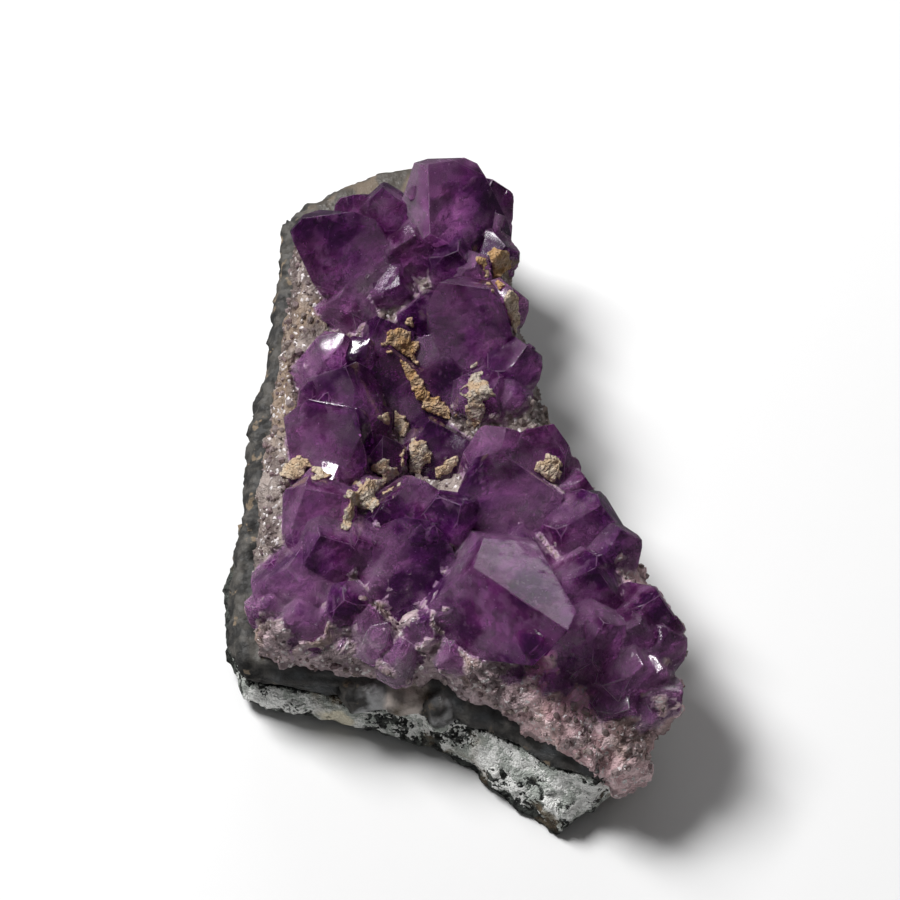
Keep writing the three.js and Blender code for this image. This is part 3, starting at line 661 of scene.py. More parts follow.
def draw_cells(shader, given):
    """Cells in object space, bent a little by noise so that their borders aren't straight."""
    place, scale = shader.place(), given["Scale"]
    bend = shader.add("ShaderNodeTexNoise", {"Vector": place, "Scale": scale, "Detail": 2.0})
    values = {0: bend.outputs["Color"], 1: (0.5, 0.5, 0.5)}
    offset = shader.add("ShaderNodeVectorMath", values, operation="SUBTRACT")
    values = {0: offset.outputs[0], "Scale": shader.math("DIVIDE", CELL_BEND, scale)}
    offset = shader.add("ShaderNodeVectorMath", values, operation="SCALE")
    bent = shader.add("ShaderNodeVectorMath", {0: place, 1: offset.outputs[0]}, operation="ADD")
    values = {"Vector": bent.outputs[0], "Scale": scale, "Randomness": 1.0}
    cell = shader.add("ShaderNodeTexVoronoi", values)
    split = shader.add("ShaderNodeSeparateColor", {"Color": cell.outputs["Color"]})
    border = shader.add("ShaderNodeTexVoronoi", values, feature="DISTANCE_TO_EDGE")
    height = shader.between(border.outputs["Distance"], 0.0, CELL_BORDER)
    return {"Tone": split.outputs[0], "Height": height}


# The groups that all the minerals share: what draws each, its inputs and its outputs
GROUPS = {
    "Mineral patches": (
        draw_patches,
        {"Scale": 400.0, "Detail": 3.0, "Low": 0.4, "High": 0.6, "Along": 1.0},
        ("Mask",),
    ),
    "Mineral grain": (draw_grain, {"Scale": 1500.0, "Detail": 4.0, "Roughness": 0.6}, ("Height",)),
    "Mineral cells": (draw_cells, {"Scale": 900.0}, ("Tone", "Height")),
}


def group_of(name):
    """A shared shader group, built when it is first asked for."""
    if name in bpy.data.node_groups:
        return bpy.data.node_groups[name]
    draw, inputs, outputs = GROUPS[name]
    group = bpy.data.node_groups.new(name, "ShaderNodeTree")
    for socket, default in inputs.items():
        made = group.interface.new_socket(socket, in_out="INPUT", socket_type="NodeSocketFloat")
        made.default_value = default
    for socket in outputs:
        group.interface.new_socket(socket, in_out="OUTPUT", socket_type="NodeSocketFloat")
    shader = Shader(group)
    shader.add("NodeGroupOutput", draw(shader, shader.add("NodeGroupInput").outputs))
    return group


def new_material(name):
    """An empty material, with its builder."""
    material = bpy.data.materials.new(name)
    material.use_nodes = True
    material.node_tree.nodes.clear()
    return material, Shader(material.node_tree)


def surfaced(shader, colour, roughness, height, depth, volume=None, **plain):
    """Ends a material with its Principled shader. height is the relief, depth how deep it is in metres."""
    bump = shader.add("ShaderNodeBump", {"Height": height, "Strength": 1.0, "Distance": depth})
    values = {"Base Color": colour, "Roughness": roughness, "Normal": bump.outputs[0]}
    values.update({name.replace("_", " "): value for name, value in plain.items()})
    end = {"Surface": shader.add("ShaderNodeBsdfPrincipled", values).outputs[0]}
    if volume:
        end["Volume"] = volume
    shader.add("ShaderNodeOutputMaterial", end)


# How much each thing deepens the quartz's colour, and dulls its faces. The paling of edges is partly worn
# frost and partly painted highlight.
DEEPENING = {"along": 0.55, "tone": 0.65, "zones": 0.75, "clouds": -0.45, "facet": -0.22, "edge": -0.7}
DEPTH_AT_FOOT = -0.42
DULLING = {"spots": 0.25, "facet": 0.16, "edge": 0.2}
POLISH = 0.05  # roughness of a clean face
QUARTZ_IOR = 1.54


def amethyst_material(settings):
    """Clear quartz, pale at its root and deep violet towards its tip."""
    material, shader = new_material("Amethyst")
    seen = {
        "along": shader.attribute("along"),
        "tone": shader.attribute("tone"),
        "facet": shader.attribute("facet"),
        # Edges paled in patches: partly frosted wear, partly painted highlight along some edges.
        "edge": shader.times(shader.attribute("edge"), shader.patches(150, 0.5, 0.62)),
        "zones": shader.patches(150, 0.38, 0.62, 4),
        "clouds": shader.patches(420, 0.5, 0.68, 6),
        "spots": shader.patches(900, 0.62, 0.72, 2),
    }
    deep = shader.plus(shader.weighed(DEEPENING, seen), DEPTH_AT_FOOT)
    frost = shader.between(deep, 0.05, -0.55)
    root = shader.mix(frost, settings.root_colour, settings.frost_colour)
    tip = shader.mix(shader.patches(90, 0.4, 0.6), settings.tip_colour, settings.wine_colour)
    colour = shader.mix(shader.between(deep, 0.0, 1.0), root, tip)
    colour = shader.mix(shader.between(deep, 0.75, 1.25), colour, settings.core_colour)
    veils = shader.times(shader.patches(520, 0.6, 0.66, 4, 0.3), 0.5)
    colour = shader.mix(veils, colour, settings.root_colour)
    flecks = shader.times(shader.patches(1300, 0.62, 0.7), 0.35)
    colour = shader.mix(flecks, colour, settings.root_colour)
    roughness = shader.plus(shader.weighed(DULLING, seen), POLISH)
    height = shader.plus(shader.grain(260, 0.5, 2), shader.times(shader.grain(2500), 0.05))
    values = {"Color": settings.absorption_colour, "Density": settings.absorption_density}
    volume = shader.add("ShaderNodeVolumeAbsorption", values).outputs[0]
    surfaced(
        shader, colour, roughness, height, 0.2 * MM, volume, IOR=settings.ior,
        Transmission_Weight=settings.clearness, Specular_IOR_Level=settings.specular,
    )  # fmt: skip
    return material


def crust_material(settings):
    """Milky quartz, as deep as the crystals round it, and granular in three tints where it broke. Painted
    shade darkens its hollows and the gaps between grains, and the front tints are partly painted fill light.
    """
    material, shader = new_material("Milky quartz")
    pale = shader.mix(shader.patches(350, 0.35, 0.65, 5), settings.milk_colour, settings.lilac_colour)
    # depth is partly the heart's own deep tint and partly painted shade in the crust's hollows.
    pale = shader.mix(shader.attribute("depth"), pale, settings.heart_colour)
    tone, height = shader.cells(560)
    small, small_height = shader.cells(2200)
    streaks = shader.patches(420, 0.42, 0.6, 5, 0.22)
    grey = shader.mix(streaks, settings.side_colour, settings.grey_side_colour)
    # The front and pink tints are partly the grains' own colour and partly painted fill light, made paler so
    # that the shaded front shows bright.
    mauve = shader.mix(tone, settings.front_colour, settings.deep_front_colour)
    pink = shader.mix(tone, settings.pink_colour, settings.deep_pink_colour)
    broken = shader.mix(shader.attribute("front"), grey, mauve)
    broken = shader.mix(shader.attribute("pink"), broken, pink)
    stain = shader.times(shader.patches(140, 0.52, 0.66, 5, 0.5), 0.6)
    broken = shader.mix(stain, broken, settings.stain_colour)
    # Painted shade: dark patches stand for the shade in the hollows between grains.
    shade = shader.times(shader.patches(260, 0.5, 0.62, 5, 0.6), 0.55)
    broken = shader.mix(shade, broken, settings.gap_colour)
    glint = shader.between(small, 0.9, 0.94)
    broken = shader.mix(glint, broken, settings.glint_colour)
    colour = shader.mix(shader.attribute("side"), pale, broken)
    roughness = shader.minus(0.45, shader.times(glint, 0.3))
    relief = shader.plus(height, shader.times(small_height, 0.4), shader.times(tone, 0.8))
    surfaced(shader, colour, roughness, relief, 0.28 * MM, IOR=QUARTZ_IOR)
    return material


def druse_material(settings):
    """The tiny crystals of the crust, half clear, so that they take on its colour."""
    material, shader = new_material("Druse")
    tone = shader.attribute("tone")
    colour = shader.mix(tone, settings.druse_pale_colour, settings.druse_deep_colour)
    colour = shader.mix(shader.patches(300, 0.45, 0.65), colour, settings.side_colour)
    surfaced(
        shader, colour, 0.25, shader.grain(1500), 0.1 * MM, IOR=QUARTZ_IOR, Transmission_Weight=0.5,
        Specular_IOR_Level=0.3,
    )  # fmt: skip
    return material


def basalt_material(settings):
    """Black and grey-green rock with a granular white coating."""
    material, shader = new_material("Basalt")
    rock = shader.mix(shader.patches(900, 0.42, 0.6, 5), settings.black_colour, settings.green_colour)
    tone, height = shader.cells(900)
    fine, fine_height = shader.cells(2400)
    ragged = shader.plus(
        shader.times(tone, 0.5), shader.times(fine, 0.35), shader.times(shader.grain(500), 0.5)
    )
    cover = shader.plus(shader.attribute("coating"), shader.minus(ragged, 0.67))
    cover = shader.between(cover, 0.42, 0.5)
    tint = shader.between(shader.plus(fine, shader.patches(260, 0.42, 0.6, 4)), 0.7, 1.3)
    colour = shader.mix(cover, rock, shader.mix(tint, settings.white_colour, settings.grey_colour))
    rust = shader.times(shader.attribute("rust"), shader.patches(300, 0.4, 0.6))
    colour = shader.mix(rust, colour, settings.rust_colour)
    colour = shader.mix(shader.attribute("cream"), colour, settings.cream_colour)
    roughness = shader.plus(0.62, shader.times(cover, 0.25))
    relief = shader.plus(shader.times(height, 0.4), shader.times(fine_height, 0.3), cover)
    surfaced(shader, colour, roughness, relief, 0.4 * MM)
    return material


def agate_material(settings):
    """Dense grey chalcedony with bands along its layer, paler knobs and a rough left side."""
    material, shader = new_material("Agate")
    tone = shader.plus(shader.attribute("band"), shader.times(shader.grain(220), 0.5))
    stripes = shader.between(shader.math("SINE", shader.times(tone, 14.0)), -1.0, 1.0)
    colour = shader.mix(stripes, settings.agate_dark_colour, settings.agate_grey_colour)
    blotch = shader.times(shader.patches(260, 0.4, 0.7, 5), 0.6)
    colour = shader.mix(blotch, colour, settings.agate_blue_colour)
    clouds = shader.patches(300, 0.4, 0.65, 4)
    cream = shader.mix(clouds, settings.knob_colour, settings.ledge_colour)
    blue = shader.mix(clouds, settings.blue_knob_colour, settings.agate_grey_colour)
    colour = shader.mix(shader.attribute("blue"), colour, blue)
    colour = shader.mix(shader.attribute("cream"), colour, cream)
    streaks = shader.patches(380, 0.42, 0.56, 5, 0.5)
    ledge = shader.mix(streaks, settings.ledge_colour, settings.ledge_streak_colour)
    colour = shader.mix(shader.attribute("ledge"), colour, ledge)
    worn = shader.patches(380, 0.42, 0.58, 5)
    weathered = shader.mix(worn, settings.agate_dark_colour, settings.weathered_colour)
    weathered = shader.mix(shader.patches(420, 0.6, 0.66, 6), weathered, settings.speck_colour)
    left = shader.attribute("left")
    colour = shader.mix(left, colour, weathered)
    dull = shader.times(shader.patches(800, 0.45, 0.6), 0.35)
    roughness = shader.plus(0.3, dull, shader.times(left, 0.3))
    surfaced(shader, colour, roughness, shader.grain(900, 0.65), 0.4 * MM, IOR=QUARTZ_IOR)
    return material


CRACK_SHADE = 0.45  # how dark cracks are, beside the calcite's deeper colour


def calcite_material(name, pale, deep):
    """Sugary tan calcite."""
    material, shader = new_material(name)
    tone, height = shader.cells(1600)
    share = shader.plus(shader.times(tone, 0.4), shader.patches(500, 0.35, 0.65, 4))
    colour = shader.mix(shader.between(share, 0.2, 1.2), pale, deep)
    cracks = shader.times(shader.patches(1100, 0.6, 0.72, 5), 0.7)
    colour = shader.mix(cracks, colour, [CRACK_SHADE * part for part in deep])
    surfaced(shader, colour, 0.75, shader.plus(height, shader.grain(2200, 0.7, 5)), 0.3 * MM)
    return material



def colour_of(name, description, default):
    return FloatVectorProperty(
        name=name, description=description, default=default, subtype="COLOR", size=3, min=0.0, max=1.0
    )


def length_of(name, description, default, least, most):
    """A length. Its numbers are in millimetres."""
    return FloatProperty(
        name=name, description=description, default=default * MM, min=least * MM, max=most * MM,
        unit="LENGTH",
    )  # fmt: skip


def share_of(name, description, default, least=0.0):
    return FloatProperty(
        name=name, description=description, default=default, min=least, max=1.0, subtype="FACTOR"
    )


def power_of(name, description, default):
    return FloatProperty(name=name, description=description, default=default, min=0.0, unit="POWER")


class CrystalSettings(PropertyGroup):
    edge: length_of("Edge", "Width of the rounding of a crystal's edges", 0.13, 0, 1)
    ior: FloatProperty(
        name="IOR", description="Index of refraction of quartz", default=1.544, min=1.0, max=2.0
    )
    clearness: share_of("Clearness", "Share of light that enters the quartz; the rest is haze", 0.9, 0.5)
    specular: share_of("Specular", "Strength of the reflections off the faces", 0.25)
    root_colour: colour_of("Root colour", "Tint of a crystal's lower end", (0.82, 0.50, 0.80))
    frost_colour: colour_of("Frost colour", "Tint of the palest zones", (0.98, 0.90, 0.96))
    tip_colour: colour_of("Tip colour", "Tint of a crystal's upper end", (0.25, 0.048, 0.32))
    wine_colour: colour_of("Wine colour", "Redder tint of an upper end", (0.31, 0.065, 0.27))
    core_colour: colour_of("Core colour", "Tint of the deepest zones", (0.10, 0.018, 0.13))
    absorption_colour: colour_of("Absorption colour", "What the quartz lets through", (0.74, 0.13, 0.76))
    absorption_density: FloatProperty(
        name="Absorption density", description="How strongly the quartz absorbs, per metre",
        default=65.0, min=0.0, max=1000.0,
    )  # fmt: skip


class CrustSettings(PropertyGroup):
    cell: length_of("Cell", "Size of the crust's mesh cells", 0.55, 0.2, 3)
    core_rise: length_of("Core rise", "How high the milky quartz reaches into the crystals", 2.2, 0, 8)
    druse_count: IntProperty(
        name="Druse crystals", description="Tiny crystals on the bare crust", default=480, min=0, max=6000
    )
    milk_colour: colour_of("Milk colour", "Milky quartz between the crystals", (0.52, 0.33, 0.48))
    lilac_colour: colour_of("Lilac colour", "Lilac clouds in the milky quartz", (0.29, 0.13, 0.29))
    # Also the painted shade that darkens the crust's hollows, through the depth attribute.
    heart_colour: colour_of("Heart colour", "Milky quartz high between the crystals", (0.14, 0.045, 0.15))
    side_colour: colour_of("Side colour", "Pale streaks of the broken left side", (0.40, 0.33, 0.30))
    grey_side_colour: colour_of("Grey side colour", "Darker streaks there", (0.16, 0.12, 0.11))
    # Partly painted fill light: the front and pink tints are paler than the grains' own, to brighten the
    # shaded front.
    front_colour: colour_of("Front colour", "Palest grains of the broken front", (0.70, 0.53, 0.56))
    deep_front_colour: colour_of("Deep front colour", "Darker grains there", (0.34, 0.25, 0.27))
    pink_colour: colour_of("Pink colour", "Palest grains of the front corner", (0.97, 0.73, 0.75))
    deep_pink_colour: colour_of("Deep pink colour", "Darker grains there", (0.62, 0.38, 0.40))
    stain_colour: colour_of("Stain colour", "Tan and brown stains", (0.30, 0.20, 0.12))
    # Painted shade of the hollows between grains.
    gap_colour: colour_of("Gap colour", "Dark hollows between grains", (0.055, 0.033, 0.035))
    glint_colour: colour_of("Glint colour", "Grains that catch the light", (0.80, 0.74, 0.74))
    druse_pale_colour: colour_of("Pale druse colour", "Palest tiny crystals", (0.56, 0.47, 0.46))
    druse_deep_colour: colour_of("Deep druse colour", "Deepest tiny crystals", (0.34, 0.23, 0.25))


class RockSettings(PropertyGroup):
    cell: length_of("Cell", "Size of the rock's mesh cells", 0.55, 0.2, 3)
    black_colour: colour_of("Black colour", "Darkest basalt", (0.010, 0.011, 0.010))
    green_colour: colour_of("Green colour", "Grey-green basalt", (0.075, 0.085, 0.075))
    white_colour: colour_of("White colour", "Granular coating", (0.92, 0.92, 0.89))
    grey_colour: colour_of("Grey colour", "Thinner coating", (0.46, 0.49, 0.45))
    cream_colour: colour_of("Cream colour", "Crumbly patch low on the front", (0.80, 0.74, 0.58))
    rust_colour: colour_of("Rust colour", "Brown and yellowish stains", (0.23, 0.15, 0.07))
    agate_dark_colour: colour_of("Dark agate colour", "Dark bands of the agate", (0.025, 0.024, 0.023))
    agate_grey_colour: colour_of("Grey agate colour", "Light bands of the agate", (0.064, 0.059, 0.056))
    agate_blue_colour: colour_of("Blue agate colour", "Bluish clouds in the agate", (0.085, 0.095, 0.105))
    knob_colour: colour_of("Knob colour", "Cream knob of the agate", (0.62, 0.53, 0.48))
    blue_knob_colour: colour_of("Blue knob colour", "Blue-grey knobs of the agate", (0.62, 0.62, 0.63))
    ledge_colour: colour_of("Ledge colour", "Brown-grey agate on top at the back", (0.155, 0.118, 0.082))
    ledge_streak_colour: colour_of("Ledge streak colour", "Darker streaks there", (0.058, 0.048, 0.038))
    weathered_colour: colour_of("Weathered colour", "Paler agate on the rough side", (0.080, 0.074, 0.066))
    speck_colour: colour_of("Speck colour", "Tan specks there", (0.22, 0.165, 0.11))


class CalciteSettings(PropertyGroup):
    cell: length_of("Cell", "Size of the calcite's mesh cells", 0.2, 0.1, 1)
    pale_colour: colour_of("Pale calcite colour", "Pale calcite", (0.80, 0.66, 0.50))
    tan_colour: colour_of("Tan calcite colour", "Tan calcite", (0.62, 0.44, 0.28))
    orange_colour: colour_of("Orange calcite colour", "Calcite in the long vein", (0.56, 0.33, 0.14))
    grey_colour: colour_of("Grey calcite colour", "Greyest calcite", (0.62, 0.54, 0.45))


class StageSettings(PropertyGroup):
    lens: FloatProperty(name="Lens", description="Focal length", default=150.0, min=20.0, max=500.0)
    filling: share_of("Filling", "Share of the picture's height that the object fills", 0.84, 0.2)
    key_power: power_of("Key", "Power of the main light", 11.0)
    back_power: power_of("Back", "Power of the light behind", 2.4)
    surround: FloatProperty(
        name="Surround", description="Strength of the light all round", default=0.09, min=0.0
    )


FLAT_ENOUGH = 0.9998  # the cosine from which a face counts as one of the crystal's own
FACET_TONES = (0.1, 0.7, 0.35, 0.0, 0.9, 0.2, 0.55, 0.05, 0.8, 0.3, 0.45)  # how frosted facets are, in turn
CRYSTAL_SMOOTH = 18  # degrees, the widest angle that is still shaded smooth


class AMETHYST_OT_crystals(Operator):
    """Grow the clear crystals: each is cut from a block along its faces, and all are joined."""

    bl_idname = "amethyst.crystals"
    bl_label = "Crystals"

    def execute(self, context):
        settings = context.scene.amethyst_crystal_settings
        planes = all_planes()
        number = numbers_from(GROWTH_SEED)
        planes += [growth for crystal in list(planes) for growth in growths_on(crystal, number)]
        first, *rest = [cut_crystal(crystal, i, settings.edge) for i, crystal in enumerate(planes)]
        gathered = bpy.data.collections.new("Crystals to join")
        context.scene.collection.children.link(gathered)
        for obj in rest:
            gathered.objects.link(obj)
        finished(
            first, "BOOLEAN", operation="UNION", operand_type="COLLECTION", collection=gathered,
            solver="MANIFOLD",
        )  # fmt: skip
        for obj in rest:
            bpy.data.objects.remove(obj)
        bpy.data.collections.remove(gathered)
        first.name = first.data.name = "quartz_crystals"
        zone(first.data, planes)
        dressed(first, amethyst_material(settings), "amethyst_crystals", CRYSTAL_SMOOTH)
        return {"FINISHED"}


def cut_crystal(crystal, index, edge):
    """Cuts one crystal from a cube and rounds its edges a little."""
    bpy.ops.object.select_all(action="DESELECT")
    reach = 2 * (crystal.distances[0] + crystal.width)
    bpy.ops.mesh.primitive_cube_add(size=reach, location=crystal.tip)
    obj = bpy.context.object
    with editing(obj):
        for normal, distance in zip(crystal.normals, crystal.distances):
            bpy.ops.mesh.select_all(action="SELECT")
            bpy.ops.mesh.bisect(
                plane_co=crystal.tip + normal * distance, plane_no=normal, use_fill=True,
                clear_outer=True, threshold=CUT_WITHIN,
            )  # fmt: skip
        bpy.ops.mesh.select_all(action="SELECT")
        bpy.ops.mesh.bevel(offset=edge, segments=2, affect="EDGES", clamp_overlap=True)
    bpy.ops.object.transform_apply(location=True, rotation=True, scale=True)
    polygons = obj.data.polygons
    crystals = obj.data.attributes.new("crystal", "INT", "FACE")
    crystals.data.foreach_set("value", [index] * len(polygons))
    facing = np.array([p.normal for p in polygons]) @ np.array(crystal.normals).T
    facets = [FACET_TONES[(index * 5 + int(k) * 7) % len(FACET_TONES)] for k in facing.argmax(axis=1)]
    # The rounded edges are marked for a paling that is partly painted highlight.
    mark(obj.data, "FACE", edge=facing.max(axis=1) < FLAT_ENOUGH, facet=facets)
    return obj


def tones_at(points, tips, tones, fades, widths):
    """How deep the colour of a crystal is at each point, as it fades across and up the picture."""
    away = points - tips
    return tones + (away[:, 0] * fades[..., 0] + away @ UP_PICTURE * fades[..., 1]) / widths


def zone(mesh, planes):
    """Marks every corner with its height along its own crystal and with that crystal's tone."""
    owner = np.empty(len(mesh.polygons), dtype=int)
    mesh.attributes["crystal"].data.foreach_get("value", owner)
    totals = np.empty(len(mesh.polygons), dtype=int)
    mesh.polygons.foreach_get("loop_total", totals)
    owner = np.repeat(owner, totals)
    corners = np.empty(len(mesh.loops), dtype=int)
    mesh.loops.foreach_get("vertex_index", corners)
    points = points_of(mesh)[corners]
    kinds = ("tip", "axis", "height", "tone", "fade", "width")
    tips, axes, heights, *colouring = (np.array([getattr(p, kind) for p in planes])[owner] for kind in kinds)
    below = ((tips - points) * axes).sum(axis=1)
    tones = tones_at(points, tips, *colouring)
    mark(mesh, "CORNER", along=np.clip(1 - below / heights, 0, 1), tone=tones)


CRUST_LUMPS = [(0.35, 3, 3), (0.2, 1.1, 2, 5.0)]
CRUST_SUNK = 0.1  # mm, how much deeper than its solid the crust lies
CHIPS = (3.6, 1.6)  # mm, sizes of the coarse and fine chips
CHIP_DEPTH = 0.35  # mm
FRONT_CHIP_DEPTH = 0.65  # mm more for the coarse ones on the front
FRONT_FROM, FRONT_TO = -14, -21  # Y where the broken front begins and is complete
HANG = 1.4  # mm, how far the front's lower edge hangs down
HANG_VARIES = 0.9


class AMETHYST_OT_crust(Operator):
    """Make the milky quartz that the crystals grow from, with its rough broken sides."""

    bl_idname = "amethyst.crust"
    bl_label = "Crust"

    def execute(self, context):
        settings = context.scene.amethyst_crust_settings
        crust = copy_of("amethyst_crystals", "quartz_crust")
        ceiling = core_ceiling(settings.core_rise)
        finished(crust, "BOOLEAN", operation="INTERSECT", object=ceiling, solver="MANIFOLD")
        bpy.data.objects.remove(ceiling)
        remeshed(crust, settings.cell)
        mesh = crust.data
        points, normals = points_of(mesh), normals_of(mesh)
        table = on_table(points)
        front = step_between(FRONT_FROM, FRONT_TO, table[:, 1])
        relief = uneven(points, CRUST_LUMPS) - CRUST_SUNK
        relief += (CHIP_DEPTH + FRONT_CHIP_DEPTH * front) * chunks(points, CHIPS[0])
        relief += CHIP_DEPTH * chunks(points, CHIPS[1])
        points = points + normals * (relief * MM)[:, None]
        skirt = step_between(AGATE_TOP + 3, AGATE_TOP + 0.5, table[:, 2]) * front
        hang = skirt * (HANG + HANG_VARIES * lumps(points, 3.5, 2, 4.0)) * MM
        points[:, 2] -= hang
        points[:, 1] -= 0.5 * hang * (normals[:, 1] < 0.2)
        under = step_between(-0.6, -0.9, normals[:, 2]) * (table[:, 2] < AGATE_TOP + 1.5) * (1 - front)
        points[:, 2] -= under * 0.9 * MM
        set_points(mesh, points)
        inside, tones = within_crystals(points)
        levels = np.array([crust_level(x, y) for x, y, _ in table])
        # Painted shade: the crust is darkened where it lies low in its hollows, away from the front; depth
        # carries it along with the heart's own deep tint.
        pocket = 0.85 * step_between(CRUST_TOP - 0.8, CRUST_TOP - 2.5, levels) * (1 - front)
        heart = step_between(0.5, 4, table[:, 2] - levels) * step_between(0.1, 0.9, tones)
        pink = step_between(4, 14, table[:, 0] - 0.5 * (table[:, 1] + 30))
        mark(mesh, side=1 - inside, front=front, pink=pink, depth=np.maximum(heart, pocket))
        dressed(crust, crust_material(settings), "amethyst_crystals")
        return {"FINISHED"}


def within_crystals(points):
    """From 0 at 0.3 mm outside any crystal to 1 at its surface, and that crystal's tone there."""
    deepest = np.full(len(points), -np.inf)
    tones = np.zeros(len(points))
    for p in all_planes():
        inside = (np.array(p.distances) - (points - np.array(p.tip)) @ np.array(p.normals).T).min(axis=1)
        here = tones_at(points, np.array(p.tip), p.tone, np.array(p.fade), p.width)
        tones = np.where(inside > deepest, here, tones)
        deepest = np.maximum(deepest, inside)
    return step_between(-0.3 * MM, 0.0, deepest), tones


CEILING_CELLS = (100, 150)
CEILING_LUMPS = [(1.3, 3.5, 2, 9.0)]
CEILING_MARGIN = 6  # mm by which it is wider than the part
CEILING_FOOT = 6  # mm below the agate's top
CORE_COVER = 0.5 * MM  # of clear quartz over the milky core, at least


def surfaces_over(places):
    """Heights of the highest and the second highest crystal over each place, 0 where there is none."""
    heights = []
    for p in all_planes():
        normals = np.array(p.normals)
        level = np.array(p.distances) + normals @ np.array(p.tip)
        reach = (level[:, None] - normals[:, :2] @ places.T) / normals[:, 2][:, None]
        upper = np.where(normals[:, 2][:, None] > 0, reach, np.inf).min(axis=0)
        lower = np.where(normals[:, 2][:, None] < 0, reach, -np.inf).max(axis=0)
        heights.append(np.where(upper > lower, upper, 0))
    ordered = np.sort(np.array(heights), axis=0)
    return ordered[-1], ordered[-2]


def core_ceiling(rise):
    """A block whose uneven top is as high as the milky quartz reaches."""
    bpy.ops.object.select_all(action="DESELECT")
    low, high = CAD_BOX
    middle = (low + high) / 2
    size = (high - low) + Vector((CEILING_MARGIN, CEILING_MARGIN, 0)) * MM
    bpy.ops.mesh.primitive_grid_add(
        x_subdivisions=CEILING_CELLS[0], y_subdivisions=CEILING_CELLS[1], size=1,
        location=(middle.x, middle.y, 0),
    )  # fmt: skip
    block = bpy.context.object
    block.scale = (size.x, size.y, 1)
    bpy.ops.object.transform_apply(location=True, rotation=True, scale=True)
    doubled(block)
    points = points_of(block.data)
    levels = np.array([crust_level(x, y) for x, y, _ in on_table(points)])
    low = (levels + uneven(points, CEILING_LUMPS)) * MM + rise
    highest, second = surfaces_over(points[:, :2])
    seams = second - (0.7 + 0.5 * lumps(points, 1.5, 2, 3.0)) * MM
    top = np.minimum(np.maximum(low, seams), np.where(highest > 0, highest - CORE_COVER, low))
    points[:, 2] = np.where(points[:, 2] > 0.5, top, (AGATE_TOP - CEILING_FOOT) * MM)
    set_points(block.data, points)
    return faced_outwards(block)


DRUSE_SEED = 77
DRUSE_SITE_SEED = 55
DRUSE_SIZE = (0.45, 0.8)  # mm, the least and how much more
DRUSE_WANDER = 1.6  # how far a tiny crystal leans from the crust's normal
DRUSE_CLEARANCE = 0.7  # mm from any larger crystal
DRUSE_SMOOTH = 20  # degrees


class AMETHYST_OT_druse(Operator):
    """Sow tiny crystals on the bare crust."""

    bl_idname = "amethyst.druse"
    bl_label = "Druse"

    def execute(self, context):
        settings = context.scene.amethyst_crust_settings
        seedling = tiny_crystal()
        base = points_of(seedling.data)
        faces = [tuple(p.vertices) for p in seedling.data.polygons]
        bpy.data.objects.remove(seedling)
        crust = bpy.data.objects["quartz_crust"].data
        points, polygons, tones = [], [], []
        number = numbers_from(DRUSE_SEED)
        for at, normal in bare_sites(crust, settings.druse_count):
            size = (DRUSE_SIZE[0] + DRUSE_SIZE[1] * next(number) ** 3) * MM
            wander = Vector((next(number) - 0.5, next(number) - 0.5, next(number) - 0.2)) * DRUSE_WANDER
            turn = (normal + wander).normalized().to_track_quat("Z", "Y").to_matrix()
            spin = Matrix.Rotation(next(number) * math.pi, 3, "Z")
            first = len(points) * len(base)
            points.append(base @ np.array(turn @ spin).T * size + np.array(at))
            polygons += [[first + v for v in face] for face in faces]
            tones += [next(number)] * len(base)
        mesh = bpy.data.meshes.new("druse")
        mesh.from_pydata(np.concatenate(points).tolist(), [], polygons)
        druse = bpy.data.objects.new("druse", mesh)
        context.scene.collection.objects.link(druse)
        mark(mesh, tone=tones)
        dressed(druse, druse_material(settings), "amethyst_crystals", DRUSE_SMOOTH)
        return {"FINISHED"}


def tiny_crystal():
    """A six-sided crystal one unit wide, sunk a little into what it grows on."""
    bpy.ops.object.select_all(action="DESELECT")
    bpy.ops.mesh.primitive_cylinder_add(vertices=6, radius=0.5, depth=1, location=(0, 0, -0.15))
    obj = bpy.context.object
    bpy.ops.object.transform_apply(location=True, rotation=True, scale=True)
    with editing(obj, "DESELECT"):
        pass
    for polygon in obj.data.polygons:
        polygon.select = polygon.normal.z > 0.9
    bpy.ops.object.mode_set(mode="EDIT")
    bpy.ops.mesh.poke(offset=0.55)
    bpy.ops.object.mode_set(mode="OBJECT")
    return obj


def bare_sites(mesh, count):
    """Places on the crust's sides that no crystal covers, with the way the crust faces there."""
    areas, centres, normals = (
        np.array([getattr(polygon, kind) for polygon in mesh.polygons])
        for kind in ("area", "center", "normal")
    )
    clear = np.full(len(centres), True)
    for p in all_planes():
        away = (centres + normals * 0.4 * MM - np.array(p.tip)) @ np.array(p.normals).T
        clear &= (away > np.array(p.distances) + DRUSE_CLEARANCE * MM).any(axis=1)
    high = centres[:, 2] > (AGATE_TOP + 0.8) * MM
    chance = np.cumsum(areas * clear * high * (normals[:, 2] > -0.3))
    number = numbers_from(DRUSE_SITE_SEED)
    picks = [int(np.searchsorted(chance, next(number) * chance[-1])) for _ in range(count)]
    return [(centres[i], Vector(normals[i])) for i in picks]


CREAM_PATCH = (-17.6, -26, 3.8, 2.6)  # middle and radius, of the crumbly patch low on the front
ROCK_LUMPS = [(0.5, 3.2, 3, 1.0)]
COATING_LUMPS = [(0.55, 5, 4, 2.0)]
COATING_FOOT = (1.2 * MM, 3.2 * MM)  # heights between which the coating begins


